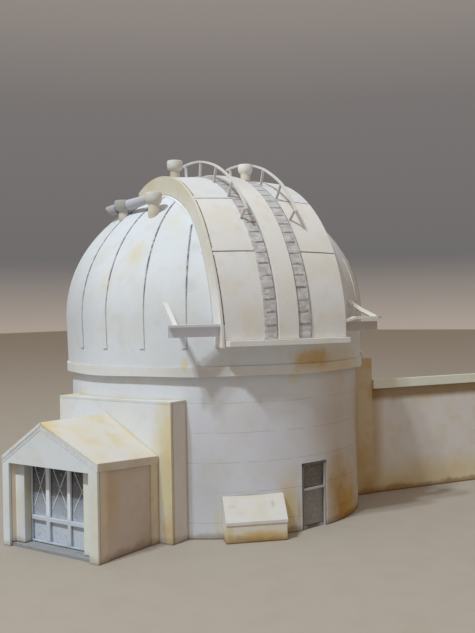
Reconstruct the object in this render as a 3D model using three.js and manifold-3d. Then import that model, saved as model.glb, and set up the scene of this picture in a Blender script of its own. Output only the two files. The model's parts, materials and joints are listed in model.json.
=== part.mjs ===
// Card model of an observatory: a round drum under a turning dome, with a porch, a lean-to and a wing.
// Millimetres, +Z up. The drum's axis is Z, the model stands on z = 0 and the porch faces -Y.
// A bearing is an angle in degrees seen from above, from -Y (0) towards +X (90). Each sub-assembly is
// built facing -Y in a group of its own, and the group is turned to its bearing.
import * as THREE from 'three';
import { mergeVertices } from 'three/addons/utils/BufferGeometryUtils.js';
import Module from 'manifold-3d';

const wasm = await Module();
wasm.setup();

// Card stock and the clearance between neighbouring pieces
const CARD = 1.2;
const THIN = 0.6;
const GAP = 0.3;

// Drum
const DRUM_R = 67.6;
const DRUM_TOP = 67.9;
const WALL_ARCS = 4;
const DOOR_BEARING = 73.9;
const DOOR_WIDTH = 14.6;
const DOOR_HEIGHT = 28;
const DOOR_BAR_Z = 16.8;

// Dome, a short wall that swells into a cap of elliptical section
const SKIRT_R = 70;
const SKIRT_BOTTOM = 65.8;
const DOME_FOOT_Z = 69.9;
const DOME_FOOT_R = 69.4;
const DOME_R = 70.1;
const SPRING_Z = 90.5;
const CAP_HEIGHT = 60.7;
const DOME_FACETS = 72;
const CAP_STEPS = 12;

// Shutter, a crowned band that bends over the dome about a level axis
const SHUTTER_BEARING = 61.3;
const BAND_Y = 0.9;
const BAND_Z = 83.1;
const BAND_R = 71.5;
const CROWN = 1;
const CHEEK_OUTER = 28.56;
const BAND_HALF = CHEEK_OUTER - CARD - GAP;
const BAND_START = -2;
const SEAM_ANGLES = [27.3, 52.5];
const BAND_END = 107;
const SLIT_END = 22;
const FLARE = { most: 2.6, at: 24, before: 35, after: 31 };
const LEDGE = { left: -28.3, right: 28.1, front: -74.4, back: -60, bottom: 78, top: 80.3 };
const STRIP = [-5.3, 4.05];
const LADDER_OUTER = { left: -11.4, right: 10.5 };
const LADDER_ENDS = { left: 99, right: 70 };
const RAIL_X = 11.9;
const RAIL_Z = 82;
const RAIL_R = 80.4;
const RAIL_SECTION = 0.8;
const POST_ANGLES = [42.5, 55, 68, 80.5, 93];
const PLATFORM_FRONT = -70.5;
const PLATFORM_BACK = -66.6;
const FASCIA_FRONT = -68.9;

// Bay and porch
const BAY = { left: -32.2, right: 29.8, front: -71, top: 56.5 };
const PORCH = { left: -29, right: 23.1, front: -105.5, eaves: [36, 37.2], ridge: 50.5 };
const PORCH_RIDGE = { front: -6.5, back: -4.5 };
const PORCH_EAVE_FALLS = [0, 2.3];
const PORCH_BACK = BAY.front - GAP;
const OPENING = { left: -25.2, right: 18.5, top: 33.2 };
const SCREEN_FRONT = -98.5;
const PILASTER_FRONT = -102.1;

// Lean-to
const LEANTO = { bearing: 46.5, left: -10, right: 14.8, front: -74.6, eave: 8.4, top: 17.4, slope: 1.33 };

// Neck and wing, whose roofs fall from the near side (-X) to the far side
const WING_BEARING = 150;
const NECK = { half: 22.8, end: -75.1, kerb: 67.6, roofNear: 65.4, roofFar: 61.5 };
const UPSTAND = { left: -18.5, right: -15.5, front: -73.3, top: 70.5 };
const WING = { half: 22, end: -155, top: 56.4, roofNear: 55.2, roofFar: 50 };
const COPING = { bottom: 52.2, top: 56.7, depth: 1.6 };

const radians = THREE.MathUtils.degToRad;
const degrees = THREE.MathUtils.radToDeg;

// Finishes
const finish = (color, roughness) => new THREE.MeshStandardMaterial({ color, roughness, metalness: 0 });
const whiteCard = finish(0xe9e9ea, 0.85);
const creamCard = finish(0xded6c4, 0.85);
const whitePaper = finish(0xf1f1f1, 0.8);
const greyPrint = finish(0x8d8f94, 0.7);
const ladderPrint = finish(0xb4b1b6, 0.75);
const ventPaper = finish(0xcfc7b8, 0.85);
const slabGrey = finish(0x9b9ca0, 0.9);

// A closed body for cutting and joining, with its shared corners merged and its faces pointing out
function solid(geometry) {
  const bare = geometry.clone();
  bare.deleteAttribute('normal');
  bare.deleteAttribute('uv');
  const merged = mergeVertices(bare, 1e-3);
  const corners = merged.index.array;
  const triangles = [];
  for (let i = 0; i < corners.length; i += 3) {
    const [a, b, c] = [corners[i], corners[i + 1], corners[i + 2]];
    if (a !== b && b !== c && c !== a) triangles.push(a, b, c);
  }
  const vertProperties = Float32Array.from(merged.attributes.position.array);
  const body = order => new wasm.Manifold(
    new wasm.Mesh({ numProp: 3, vertProperties, triVerts: Uint32Array.from(order) }));
  const made = body(triangles);
  return made.volume() > 0 ? made : body(triangles.reverse());
}

// The flat-shaded surface of a cut body
function surface(body) {
  const { numProp, vertProperties, triVerts } = body.getMesh();
  const positions = new Float32Array(triVerts.length * 3);
  triVerts.forEach((vertex, i) => {
    for (let k = 0; k < 3; k += 1) positions[3 * i + k] = vertProperties[vertex * numProp + k];
  });
  const geometry = new THREE.BufferGeometry();
  geometry.setAttribute('position', new THREE.BufferAttribute(positions, 3));
  geometry.computeVertexNormals();
  return geometry;
}

const cut = (body, ...tools) => tools.reduce((rest, tool) => rest.subtract(tool), body);
const join = (...bodies) => bodies.reduce((sum, body) => sum.add(body));

function piece(parent, name, body, material) {
  const mesh = new THREE.Mesh(surface(body), material);
  mesh.name = name;
  parent.add(mesh);
}

function turned(parent, bearing) {
  const group = new THREE.Group();
  group.rotation.z = radians(bearing);
  parent.add(group);
  return group;
}

// Every corner of a geometry moved by a function of its place
function bent(geometry, place) {
  const corners = geometry.attributes.position;
  for (let i = 0; i < corners.count; i += 1) {
    corners.setXYZ(i, ...place(corners.getX(i), corners.getY(i), corners.getZ(i)));
  }
  return geometry;
}

function block([x0, x1], [y0, y1], [z0, z1]) {
  const box = new THREE.BoxGeometry(x1 - x0, y1 - y0, z1 - z0);
  return solid(box.translate((x0 + x1) / 2, (y0 + y1) / 2, (z0 + z1) / 2));
}

const outline = points => new THREE.Shape(points.map(([a, b]) => new THREE.Vector2(a, b)));

// An outline in X and Z, pushed along Y from y0 to y1, its corners moved by a function of their place
function facing(shape, [y0, y1], place = (x, y, z) => [x, y, z]) {
  const plate = new THREE.ExtrudeGeometry(shape, { depth: y1 - y0, bevelEnabled: false });
  return solid(bent(plate.rotateX(Math.PI / 2).translate(0, y1, 0), place));
}

// An outline in Y and Z, pushed along X from x0 to x1, and leaning in X by a function of Y and Z
function sideways(shape, [x0, x1], lean = () => 0) {
  const plate = new THREE.ExtrudeGeometry(shape, { depth: x1 - x0, bevelEnabled: false });
  const axes = new THREE.Matrix4().makeBasis(
    new THREE.Vector3(0, 1, 0), new THREE.Vector3(0, 0, 1), new THREE.Vector3(1, 0, 0));
  return solid(bent(plate.applyMatrix4(axes), (x, y, z) => [x + x0 + lean(y, z), y, z]));
}

// An outline in X and Y, raised from z0 to z1
function raised(shape, [z0, z1]) {
  const plate = new THREE.ExtrudeGeometry(shape, { depth: z1 - z0, bevelEnabled: false });
  return solid(plate.translate(0, 0, z0));
}

// A profile of [radius, height] points turned about Z
function revolved(profile, facets) {
  const points = profile.map(([r, z]) => new THREE.Vector2(r, z));
  return solid(new THREE.LatheGeometry(points, facets).rotateX(Math.PI / 2));
}

const cylinder = (radius, z0, z1, facets) => revolved([[0, z0], [radius, z0], [radius, z1], [0, z1]], facets);

// A stretch of round wall between two bearings, about six degrees to a facet
function arcWall([from, to], [inner, outer], [z0, z1]) {
  const box = new THREE.BoxGeometry(1, 1, 1, Math.max(2, Math.round((to - from) / 6)), 1, 1);
  return solid(bent(box, (x, y, z) => {
    const bearing = radians(from + (x + 0.5) * (to - from));
    const r = outer - (y + 0.5) * (outer - inner);
    return [r * Math.sin(bearing), -r * Math.cos(bearing), z0 + (z + 0.5) * (z1 - z0)];
  }));
}

// A straight bar of rectangular section between two points
function bar(from, to, width, depth) {
  const [start, end] = [new THREE.Vector3(...from), new THREE.Vector3(...to)];
  const run = end.clone().sub(start);
  const box = new THREE.BoxGeometry(width, depth, run.length());
  const up = new THREE.Vector3(0, 0, 1);
  const turn = new THREE.Quaternion().setFromUnitVectors(up, run.clone().normalize());
  const middle = start.add(end).multiplyScalar(0.5);
  return solid(box.applyQuaternion(turn).translate(middle.x, middle.y, middle.z));
}

// A round rod between two points, tapering from one radius to the other
function rod(from, to, [startRadius, endRadius]) {
  const [start, end] = [new THREE.Vector3(...from), new THREE.Vector3(...to)];
  const run = end.clone().sub(start);
  const tube = new THREE.CylinderGeometry(endRadius, startRadius, run.length(), 14);
  const level = new THREE.Vector3(0, 1, 0);
  const turn = new THREE.Quaternion().setFromUnitVectors(level, run.clone().normalize());
  const middle = start.add(end).multiplyScalar(0.5);
  return solid(tube.applyQuaternion(turn).translate(middle.x, middle.y, middle.z));
}

const model = new THREE.Group();

// Drum: floor, four stretches of wall, the wall over the door, and the door glued behind its doorway
const drumCutter = cylinder(DRUM_R + GAP, -5, DRUM_TOP + 5, DOME_FACETS);
const gapAngle = degrees(GAP / DRUM_R);
const doorHalf = degrees(DOOR_WIDTH / 2 / DRUM_R);
const [doorFrom, doorTo] = [DOOR_BEARING - doorHalf, DOOR_BEARING + doorHalf];

function buildDrum(parent) {
  const skin = [DRUM_R - CARD, DRUM_R];
  piece(parent, 'drum_floor', cylinder(DRUM_R - CARD - GAP, 0, CARD, DOME_FACETS), whiteCard);
  const step = (360 - 2 * doorHalf) / WALL_ARCS;
  for (let i = 0; i < WALL_ARCS; i += 1) {
    const from = doorTo + i * step + (i > 0 ? gapAngle : 0);
    const arc = [from, doorTo + (i + 1) * step];
    piece(parent, `drum_wall_${i + 1}`, arcWall(arc, skin, [0, DRUM_TOP]), whiteCard);
  }
  const over = [doorFrom + gapAngle, doorTo - gapAngle];
  piece(parent, 'drum_wall_over_door', arcWall(over, skin, [DOOR_HEIGHT, DRUM_TOP]), whiteCard);

  const leafInner = DRUM_R - 2 * CARD - GAP;
  const leaf = [doorFrom - 1.5, doorTo + 1.5];
  piece(parent, 'drum_door',
    arcWall(leaf, [leafInner, leafInner + CARD], [CARD + GAP, DOOR_HEIGHT + 2]), greyPrint);
  const jamb = degrees(0.8 / DRUM_R);
  const lining = [DRUM_R - CARD, DRUM_R - 0.3];
  const head = DOOR_HEIGHT - GAP;
  piece(parent, 'drum_door_frame', join(
    arcWall([over[0], over[0] + jamb], lining, [0, head]),
    arcWall([over[1] - jamb, over[1]], lining, [0, head]),
    arcWall(over, lining, [head - 0.8, head]),
    arcWall(over, lining, [DOOR_BAR_Z - 0.4, DOOR_BAR_Z + 0.4])), whitePaper);
}

// Bay: a shallow block wrapped round the front of the drum
function buildBay(parent) {
  const wallTop = BAY.top - CARD - GAP;
  const behind = BAY.front + CARD + GAP;
  const insideDrum = -52;
  const across = [BAY.left, BAY.right];
  piece(parent, 'bay_front_wall', block(across, [BAY.front, BAY.front + CARD], [0, wallTop]), whiteCard);
  const sides = [['left', BAY.left], ['right', BAY.right - CARD]];
  for (const [name, from] of sides) {
    const wall = block([from, from + CARD], [behind, insideDrum], [0, wallTop]);
    piece(parent, `bay_${name}_wall`, cut(wall, drumCutter), whiteCard);
  }
  const roof = block(across, [BAY.front, insideDrum], [BAY.top - CARD, BAY.top]);
  piece(parent, 'bay_roof', cut(roof, drumCutter), whiteCard);
}

// Porch: a gabled shed against the bay, open in front, with a glazed screen behind two pilasters.
// Its ridge runs a little askew and its right eave falls towards the back.
function buildPorch(parent) {
  const { ridge } = PORCH;
  const ridgeX = PORCH_RIDGE.front;
  const toBack = y => (y - PORCH.front) / (PORCH_BACK - PORCH.front);
  const slope = (name, side, outer, i) => {
    const eave = PORCH.eaves[i];
    const stretch = Math.hypot(1, (ridge - eave) / (outer - ridgeX));
    const [roofDrop, wallDrop] = [CARD * stretch, (CARD + GAP) * stretch];
    return { name, side, outer, eave, falls: PORCH_EAVE_FALLS[i], roofDrop, wallDrop };
  };
  const slopes = [slope('left', -1, PORCH.left, 0), slope('right', 1, PORCH.right, 1)];
  const [leftTop, rightTop] = slopes.map(({ eave, wallDrop }) => eave - wallDrop);
  const gableTop = ridge - Math.max(...slopes.map(({ wallDrop }) => wallDrop));
  const inside = [PORCH.left + CARD + THIN + GAP, PORCH.right - CARD - THIN - GAP];
  const behindFront = PORCH.front + CARD + GAP;
  const floorTop = CARD;
  const standing = floorTop + GAP;
  const screenTop = 33;

  piece(parent, 'porch_front', facing(outline([
    [PORCH.left, 0], [OPENING.left, 0], [OPENING.left, OPENING.top], [OPENING.right, OPENING.top],
    [OPENING.right, 0], [PORCH.right, 0], [PORCH.right, rightTop], [ridgeX, gableTop],
    [PORCH.left, leftTop]]), [PORCH.front, PORCH.front + CARD]), whiteCard);

  for (const { name, side, outer, eave, falls, roofDrop, wallDrop } of slopes) {
    const wallTop = y => eave - wallDrop - falls * toBack(y);
    const along = (near, far) => [outer - side * near, outer - side * far].sort((a, b) => a - b);
    const underEave = (across, [y0, y1], foot = () => 0) => sideways(outline([
      [y0, foot(y0)], [y1, foot(y1)], [y1, wallTop(y1)], [y0, wallTop(y0)]]), across);
    const proud = along(0, THIN + 0.1);
    const run = [behindFront, PORCH_BACK];
    piece(parent, `porch_wall_${name}`, join(
      underEave(along(THIN, THIN + CARD), run),
      underEave(proud, [behindFront, behindFront + 4.4]),
      underEave(proud, [PORCH_BACK - 4.4, PORCH_BACK]),
      underEave(proud, run, y => wallTop(y) - 1.5)), whiteCard);

    const joint = ridgeX + side * GAP / 2;
    const askew = (x, y, z) => {
      const toRidge = (x - outer) / (joint - outer);
      const sideStep = (PORCH_RIDGE.back - PORCH_RIDGE.front) * toRidge * toBack(y);
      return [x + sideStep, y, z - falls * (1 - toRidge) * toBack(y)];
    };
    piece(parent, `porch_roof_${name}`, facing(outline([
      [joint, ridge], [outer, eave], [outer, eave - roofDrop],
      [joint, ridge - roofDrop]]), [PORCH.front, PORCH_BACK], askew), whiteCard);
  }

  piece(parent, 'porch_floor', block(inside, [behindFront, PORCH_BACK], [0, floorTop]), slabGrey);
  const pilasterDepth = [PILASTER_FRONT, SCREEN_FRONT - GAP];
  const [leftEdge, rightEdge] = [-20.1, 12.5];
  const upright = [standing, screenTop];
  const jamb = block(
    [inside[0], OPENING.left], [behindFront, PILASTER_FRONT + 0.1], [standing, OPENING.top - 0.2]);
  const pilaster = block([inside[0], leftEdge], pilasterDepth, upright);
  piece(parent, 'porch_pilaster_left', join(pilaster, jamb), whiteCard);
  piece(parent, 'porch_pilaster_right', block([rightEdge, inside[1]], pilasterDepth, upright), whiteCard);

  const columns = [[leftEdge, -11.8], [-9.8, 0.1], [1.8, rightEdge]];
  const rows = [[standing + 0.6, 10.2], [11.8, screenTop - 0.6]];
  const screenDepth = [SCREEN_FRONT, SCREEN_FRONT + 1];
  const through = [SCREEN_FRONT - 5, SCREEN_FRONT + 5];
  const lights = columns.flatMap(across => rows.map(up => block(across, through, up)));
  piece(parent, 'porch_screen', cut(block(inside, screenDepth, upright), ...lights), whitePaper);
  const paneDepth = [screenDepth[1] + GAP, screenDepth[1] + GAP + THIN];
  piece(parent, 'porch_panes', block(inside, paneDepth, upright), greyPrint);
}

// Lean-to: a low box whose roof slopes steeply up to a level top against the drum
function buildLeanto(parent) {
  const thick = 1;
  const roofThick = 0.8;
  const eaveY = LEANTO.front - GAP;
  const steep = Math.hypot(1, LEANTO.slope);
  const top = (y, sink) => LEANTO.eave + LEANTO.slope * (y - eaveY) - sink * steep;
  const brow = eaveY + (LEANTO.top - LEANTO.eave) / LEANTO.slope;
  const back = -60;
  const under = roofThick + GAP;
  const side = outline([
    [LEANTO.front, 0], [LEANTO.front, top(LEANTO.front, under)], [brow, top(brow, under)],
    [back, top(brow, under)], [back, 0]]);
  const front = block([LEANTO.left, LEANTO.right], [LEANTO.front, LEANTO.front + thick],
    [0, top(LEANTO.front, under)]);
  piece(parent, 'leanto_walls', cut(join(front,
    sideways(side, [LEANTO.left, LEANTO.left + thick]),
    sideways(side, [LEANTO.right - thick, LEANTO.right])), drumCutter), creamCard);
  const slope = outline([
    [eaveY, top(eaveY, 0)], [brow, LEANTO.top], [back, LEANTO.top], [back, top(brow, roofThick)],
    [brow, top(brow, roofThick)], [eaveY, top(eaveY, roofThick)]]);
  piece(parent, 'leanto_roof', cut(
    sideways(slope, [LEANTO.left - GAP, LEANTO.right + GAP]), drumCutter), whiteCard);
}

// The height of a roof that falls from one side to the other, at a place across it
const fall = ({ half, roofNear, roofFar }, x) => roofNear + (roofFar - roofNear) * (x + half) / (2 * half);

// A wall across x0 to x1 that reaches up to a falling roof
function wallUnder(roof, [x0, x1], along) {
  const under = x => fall(roof, x) - CARD - 1.2 * GAP;
  return facing(outline([[x0, 0], [x1, 0], [x1, under(x1)], [x0, under(x0)]]), along);
}

// A roof plate across x0 to x1
function fallingRoof(roof, [x0, x1], along) {
  const top = x => fall(roof, x);
  return facing(outline([[x0, top(x0) - CARD], [x1, top(x1) - CARD], [x1, top(x1)], [x0, top(x0)]]), along);
}

// Neck and wing: a tall block against the drum, and a long building with a coping along its near side
function buildWing(parent) {
  const neckReach = [NECK.end, -58];
  const [near, nearInner] = [-NECK.half, -NECK.half + CARD];
  const behindNear = nearInner + GAP;
  const underSkirt = cylinder(SKIRT_R + 0.5, SKIRT_BOTTOM - GAP, 80, DOME_FACETS);
  piece(parent, 'neck_walls', cut(join(
    block([near, nearInner], neckReach, [0, NECK.kerb]),
    wallUnder(NECK, [nearInner - 0.1, NECK.half], [NECK.end, NECK.end + CARD]),
    wallUnder(NECK, [NECK.half - CARD, NECK.half], neckReach)), drumCutter, underSkirt), whiteCard);
  piece(parent, 'neck_roof', cut(
    fallingRoof(NECK, [behindNear, NECK.half], neckReach), drumCutter), whiteCard);
  const onRoof = x => fall(NECK, x) + GAP;
  const { left, right, front, top } = UPSTAND;
  piece(parent, 'neck_upstand', facing(outline([
    [left, onRoof(left)], [right, onRoof(right)], [right, top], [left, top]]),
  [front, front + CARD]), whitePaper);

  const start = NECK.end - GAP;
  const reach = [WING.end, start];
  const inside = -WING.half + CARD + GAP;
  const between = WING.half - CARD - GAP;
  piece(parent, 'wing_wall_near', block([-WING.half, -WING.half + CARD], reach, [0, WING.top]), whiteCard);
  piece(parent, 'wing_wall_far', wallUnder(WING, [WING.half - CARD, WING.half], reach), whiteCard);
  piece(parent, 'wing_end_wall',
    wallUnder(WING, [inside, between], [WING.end, WING.end + CARD]), whiteCard);
  piece(parent, 'wing_roof', fallingRoof(WING, [inside, WING.half], reach), whiteCard);
  const face = -WING.half - GAP;
  piece(parent, 'wing_coping',
    block([face - COPING.depth, face], reach, [COPING.bottom, COPING.top]), creamCard);
}

// The dome's outside as a closed solid, grown by a margin
function domeProfile(margin) {
  const points = [[DOME_FOOT_R + margin, DOME_FOOT_Z], [DOME_R + margin, SPRING_Z]];
  for (let i = 1; i <= CAP_STEPS; i += 1) {
    const lift = radians(90 * i / CAP_STEPS);
    points.push([(DOME_R + margin) * Math.cos(lift), SPRING_Z + (CAP_HEIGHT + margin) * Math.sin(lift)]);
  }
  points[points.length - 1][0] = 0;
  return points;
}
const domeSolid = margin => revolved([[0, DOME_FOOT_Z], ...domeProfile(margin)], DOME_FACETS);
const domeClear = domeSolid(GAP);

// Dome: a skirt ring that laps over the drum, and a shell with a slit under the shutter
function buildDome(parent) {
  const lip = DRUM_TOP + GAP;
  const ringTop = DOME_FOOT_Z - GAP;
  const inner = DRUM_R + 0.7;
  const seat = DRUM_R - 4;
  piece(parent, 'skirt_band', revolved([
    [inner, SKIRT_BOTTOM], [SKIRT_R, SKIRT_BOTTOM], [SKIRT_R, ringTop], [seat, ringTop], [seat, lip],
    [inner, lip], [inner, SKIRT_BOTTOM]], DOME_FACETS), whiteCard);

  const shell = revolved([...domeProfile(-CARD).reverse(), ...domeProfile(0)], DOME_FACETS);
  const [low, high, far] = [60, 160, 90];
  const slitHalf = CHEEK_OUTER - CARD;
  const within = [GAP - slitHalf, slitHalf - GAP];
  const slitFoot = 82;
  const part = (...reach) => shell.intersect(block(...reach));
  piece(parent, 'dome_shell_left', part([-far, -slitHalf], [-far, far], [low, high]), whiteCard);
  piece(parent, 'dome_shell_right', part([slitHalf, far], [-far, far], [low, high]), whiteCard);
  piece(parent, 'dome_shell_rear', part(within, [SLIT_END, far], [low, high]), whiteCard);
  piece(parent, 'dome_apron', part(within, [-far, -30], [low, slitFoot]), whiteCard);
}

// How far the shutter's left edge bulges outwards at an angle above the level of its axis
function flare(angle) {
  const width = angle < FLARE.at ? FLARE.before : FLARE.after;
  return FLARE.most * Math.exp(-(((angle - FLARE.at) / width) ** 2));
}

// A crowned panel of the shutter between two angles, whose left edge takes a share of the bulge
const bandRadius = x => BAND_R + CROWN * (1 - (x / BAND_HALF) ** 2);

function bandPanel([from, to], [x0, x1], [under, over], bulge = 0) {
  const across = Math.max(1, Math.round((x1 - x0) / 9));
  const round = Math.max(2, Math.round((to - from) / 6));
  const box = new THREE.BoxGeometry(1, 1, 1, across, round, 1);
  return solid(bent(box, (x, y, z) => {
    const turn = from + (y + 0.5) * (to - from);
    const side = x0 + (x + 0.5) * (x1 - x0) - bulge * (0.5 - x) * flare(turn);
    const angle = radians(turn);
    const r = bandRadius(side) + under + (z + 0.5) * (over - under);
    return [side, BAND_Y - r * Math.cos(angle), BAND_Z + r * Math.sin(angle)];
  }));
}

function arcPoints(radius, [from, to], steps) {
  return Array.from({ length: steps + 1 }, (_, i) => {
    const angle = radians(from + (to - from) * i / steps);
    return [BAND_Y - radius * Math.cos(angle), BAND_Z + radius * Math.sin(angle)];
  });
}

// A cheek with the tab that is folded out from its foot onto the dome. tabEdge lists the tab's outer
// edge as [distance from the middle, height].
function cheek(side, radius, foot, tabEdge, bulge = 0) {
  const wide = (near, far) => [side * near, side * far].sort((a, b) => a - b);
  const turn = [foot, 109.5];
  const crescent = outline([...arcPoints(radius, turn, 20), ...arcPoints(54, [...turn].reverse(), 4)]);
  const lean = (y, z) => side * bulge * flare(degrees(Math.atan2(z - BAND_Z, BAND_Y - y)));
  const wall = sideways(crescent, wide(CHEEK_OUTER - CARD, CHEEK_OUTER), lean);
  const tabFoot = CHEEK_OUTER - 0.3;
  const tab = outline([[tabFoot, 88], ...tabEdge, [tabFoot, 150]].map(([x, z]) => [side * x, z]));
  const skin = domeSolid(1.1).intersect(facing(tab, [-80, SLIT_END]));
  return cut(join(wall, skin), domeClear);
}

// Shutter: panels with two seams, a cheek beside them on the left and one under them on the right,
// a ledge at the foot, a raised strip between two ladder bands
function buildShutter(parent) {
  const seam = degrees(GAP / BAND_R);
  const full = [-BAND_HALF, CHEEK_OUTER];
  const skin = [-CARD, 0];
  const [low, high] = SEAM_ANGLES;
  piece(parent, 'shutter_panel_lower', bandPanel([BAND_START, low], full, skin, 1), whiteCard);
  piece(parent, 'shutter_panel_middle', bandPanel([low + seam, high], full, skin, 1), whiteCard);
  piece(parent, 'shutter_panel_upper', bandPanel([high + seam, BAND_END], full, skin, 1), whiteCard);
  piece(parent, 'shutter_rear_plate', cut(block(
    [-BAND_HALF, BAND_HALF], [SLIT_END + 0.5, SLIT_END + 0.5 + CARD], [130, 151.5]), domeClear), creamCard);
  const [leftTab, rightTab] = [[[31.3, 88], [33, 112], [32.2, 150]], [[29.5, 88], [32.2, 150]]];
  piece(parent, 'shutter_cheek_left', cheek(-1, BAND_R + GAP, -4.5, leftTab, 1), creamCard);
  piece(parent, 'shutter_cheek_right',
    cheek(1, BAND_R - CARD - 2 * GAP, BAND_START, rightTab), creamCard);

  const shelf = new THREE.BoxGeometry(1, LEDGE.back - LEDGE.front, LEDGE.top - LEDGE.bottom, 8, 1, 1);
  const crowned = bent(shelf, (along, y, z) => {
    const x = LEDGE.left + (along + 0.5) * (LEDGE.right - LEDGE.left);
    const bow = y < 0 ? CROWN * (1 - (x / BAND_HALF) ** 2) : 0;
    return [x, y + (LEDGE.front + LEDGE.back) / 2 - bow, z + (LEDGE.top + LEDGE.bottom) / 2];
  });
  piece(parent, 'shutter_ledge', cut(solid(crowned), domeClear), whitePaper);

  const start = BAND_START + 0.1;
  piece(parent, 'shutter_strip', bandPanel([start, BAND_END], STRIP, [GAP, 1.2]), whiteCard);
  const bandPaper = [GAP, 0.8];
  const bands = [
    ['left', [LADDER_OUTER.left, STRIP[0] - GAP]], ['right', [STRIP[1] + GAP, LADDER_OUTER.right]]];
  for (const [name, across] of bands) {
    const band = bandPanel([start, LADDER_ENDS[name]], across, bandPaper);
    piece(parent, `ladder_band_${name}`, band, ladderPrint);
  }
}

// Railing: a bent handrail on five posts, beside the outer edge of a ladder band
function railing(x) {
  const height = angle => RAIL_R - 1.8 * Math.max(0, (58 - angle) / 16) ** 2;
  const [from, to] = [41.5, 95.5];
  const rail = new THREE.BoxGeometry(RAIL_SECTION, 1, RAIL_SECTION, 1, 14, 1);
  const handrail = solid(bent(rail, (across, y, lift) => {
    const angle = from + (y + 0.5) * (to - from);
    const r = height(angle) + lift;
    return [x + across, -r * Math.cos(radians(angle)), RAIL_Z + r * Math.sin(radians(angle))];
  }));
  const posts = POST_ANGLES.map(angle => {
    const [foot, head] = [radians(angle - 1), radians(angle)];
    const [low, high] = [bandRadius(x) + GAP, height(angle)];
    return bar([x, BAND_Y - low * Math.cos(foot), BAND_Z + low * Math.sin(foot)],
      [x, -high * Math.cos(head), RAIL_Z + high * Math.sin(head)], RAIL_SECTION, RAIL_SECTION);
  });
  return join(handrail, ...posts);
}

// Vent: a neck under a wider bowl-shaped head, standing upright at x, y
function vent([x, y], [foot, shoulder, top], [neck, head]) {
  const profile = [
    [0, foot], [neck, foot], [neck, shoulder - 0.3], [0.85 * head, shoulder + 0.4],
    [0.97 * head, shoulder + 1.2], [head, shoulder + 2], [head, top - 0.4], [head - 0.4, top], [0, top]];
  return revolved(profile, 18).translate([x, y, 0]);
}

// Platform: a narrow plate with a fascia folded down under its front edge, open to the dome behind it
// and held up by a brace. side is -1 or 1, drop is how far the plate's near end is bent down, and tips
// lists the plate's far corners, the front one first.
function platform({ side, near, top, bottom, drop, tips, fasciaEnd, brace }) {
  const level = near + 5;
  const flip = points => points.map(([x, y]) => [side * x, y]);
  const plate = raised(outline(flip([
    [level, PLATFORM_FRONT], ...tips, [level, PLATFORM_BACK]])), [top - 1, top]);
  const nearEnd = facing(outline(flip([
    [near, top - drop], [level + 0.1, top], [level + 0.1, top - 1], [near, top - 1 - drop]])),
  [PLATFORM_FRONT, PLATFORM_BACK]);
  const fascia = block([side * near, side * fasciaEnd].sort((a, b) => a - b),
    [FASCIA_FRONT, FASCIA_FRONT + 1], [bottom, top - 0.9 - drop]);
  const strips = brace.slice(1).map((point, i) => bar(brace[i], point, 2, 0.8));
  return cut(join(plate, nearEnd, fascia, ...strips), domeClear);
}

function buildFittings(parent) {
  piece(parent, 'railing_left', railing(-RAIL_X), whitePaper);
  piece(parent, 'railing_right', railing(RAIL_X), whitePaper);
  piece(parent, 'platform_left', platform({
    side: -1, near: CHEEK_OUTER + flare(5) + GAP, top: 87, bottom: 82.1, drop: 0,
    tips: [[52.5, PLATFORM_FRONT], [48.4, -64.2]], fasciaEnd: 52,
    brace: [[-47.3, -65.3, 86.5], [-46.2, -52, 95.8]] }), whitePaper);
  piece(parent, 'platform_right', platform({
    side: 1, near: CHEEK_OUTER + GAP, top: 88.8, bottom: 82.6, drop: 1.3,
    tips: [[45.2, PLATFORM_FRONT], [51.5, -64.5]], fasciaEnd: 45.8,
    brace: [[46.8, -66.2, 88.3], [42.3, -62.5, 91.4], [39.2, -60.3, 94], [37.2, -57.8, 96.8]] }), whitePaper);

  const panelClear = bandPanel([60, BAND_END], [-BAND_HALF, BAND_HALF], [-3, GAP]);
  const leftVent = vent([-24, -11.5], [151.5, 156.6, 161.1], [2.25, 3.65]);
  const rightVent = vent([7.9, -19.8], [150.2, 155.8, 160], [2.3, 3.4]);
  piece(parent, 'top_vent_left', cut(leftVent, panelClear), ventPaper);
  piece(parent, 'top_vent_right', cut(rightVent, panelClear), ventPaper);

  // Two upright vents low on the left, with a duct through their heads that ends past the rear one
  const [rearVent, frontVent] = [[-47.3, -7], [-40.4, -26.2]];
  const [rearHeadR, frontHeadR] = [4.2, 3.7];
  const [rearAxis, frontAxis] = [[...rearVent, 139.7], [...frontVent, 141.9]];
  const run = new THREE.Vector3(...rearAxis).sub(new THREE.Vector3(...frontAxis)).normalize();
  const stubEnd = new THREE.Vector3(...rearAxis).addScaledVector(run, 9.5);
  const rearHead = vent(rearVent, [128, 137.8, 142.4], [2.3, rearHeadR]);
  const frontHead = vent(frontVent, [127, 139, 143.8], [2.45, frontHeadR]);
  const stub = rod(rearAxis, stubEnd.toArray(), [2.4, 2.4]);
  piece(parent, 'side_vent_rear', cut(join(rearHead, stub), domeClear), ventPaper);
  piece(parent, 'side_vent_front', cut(frontHead, domeClear), ventPaper);
  const around = ([x, y], radius) => cylinder(radius + GAP, 120, 150, 18).translate([x, y, 0]);
  piece(parent, 'side_duct', cut(rod(frontAxis, rearAxis, [1.95, 2.45]),
    around(frontVent, frontHeadR), around(rearVent, rearHeadR)), whitePaper);
}

buildDrum(model);
buildBay(model);
buildPorch(model);
buildLeanto(turned(model, LEANTO.bearing));
buildWing(turned(model, WING_BEARING));
const dome = turned(model, SHUTTER_BEARING);
buildDome(dome);
buildShutter(dome);
buildFittings(dome);

export default model;
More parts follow.
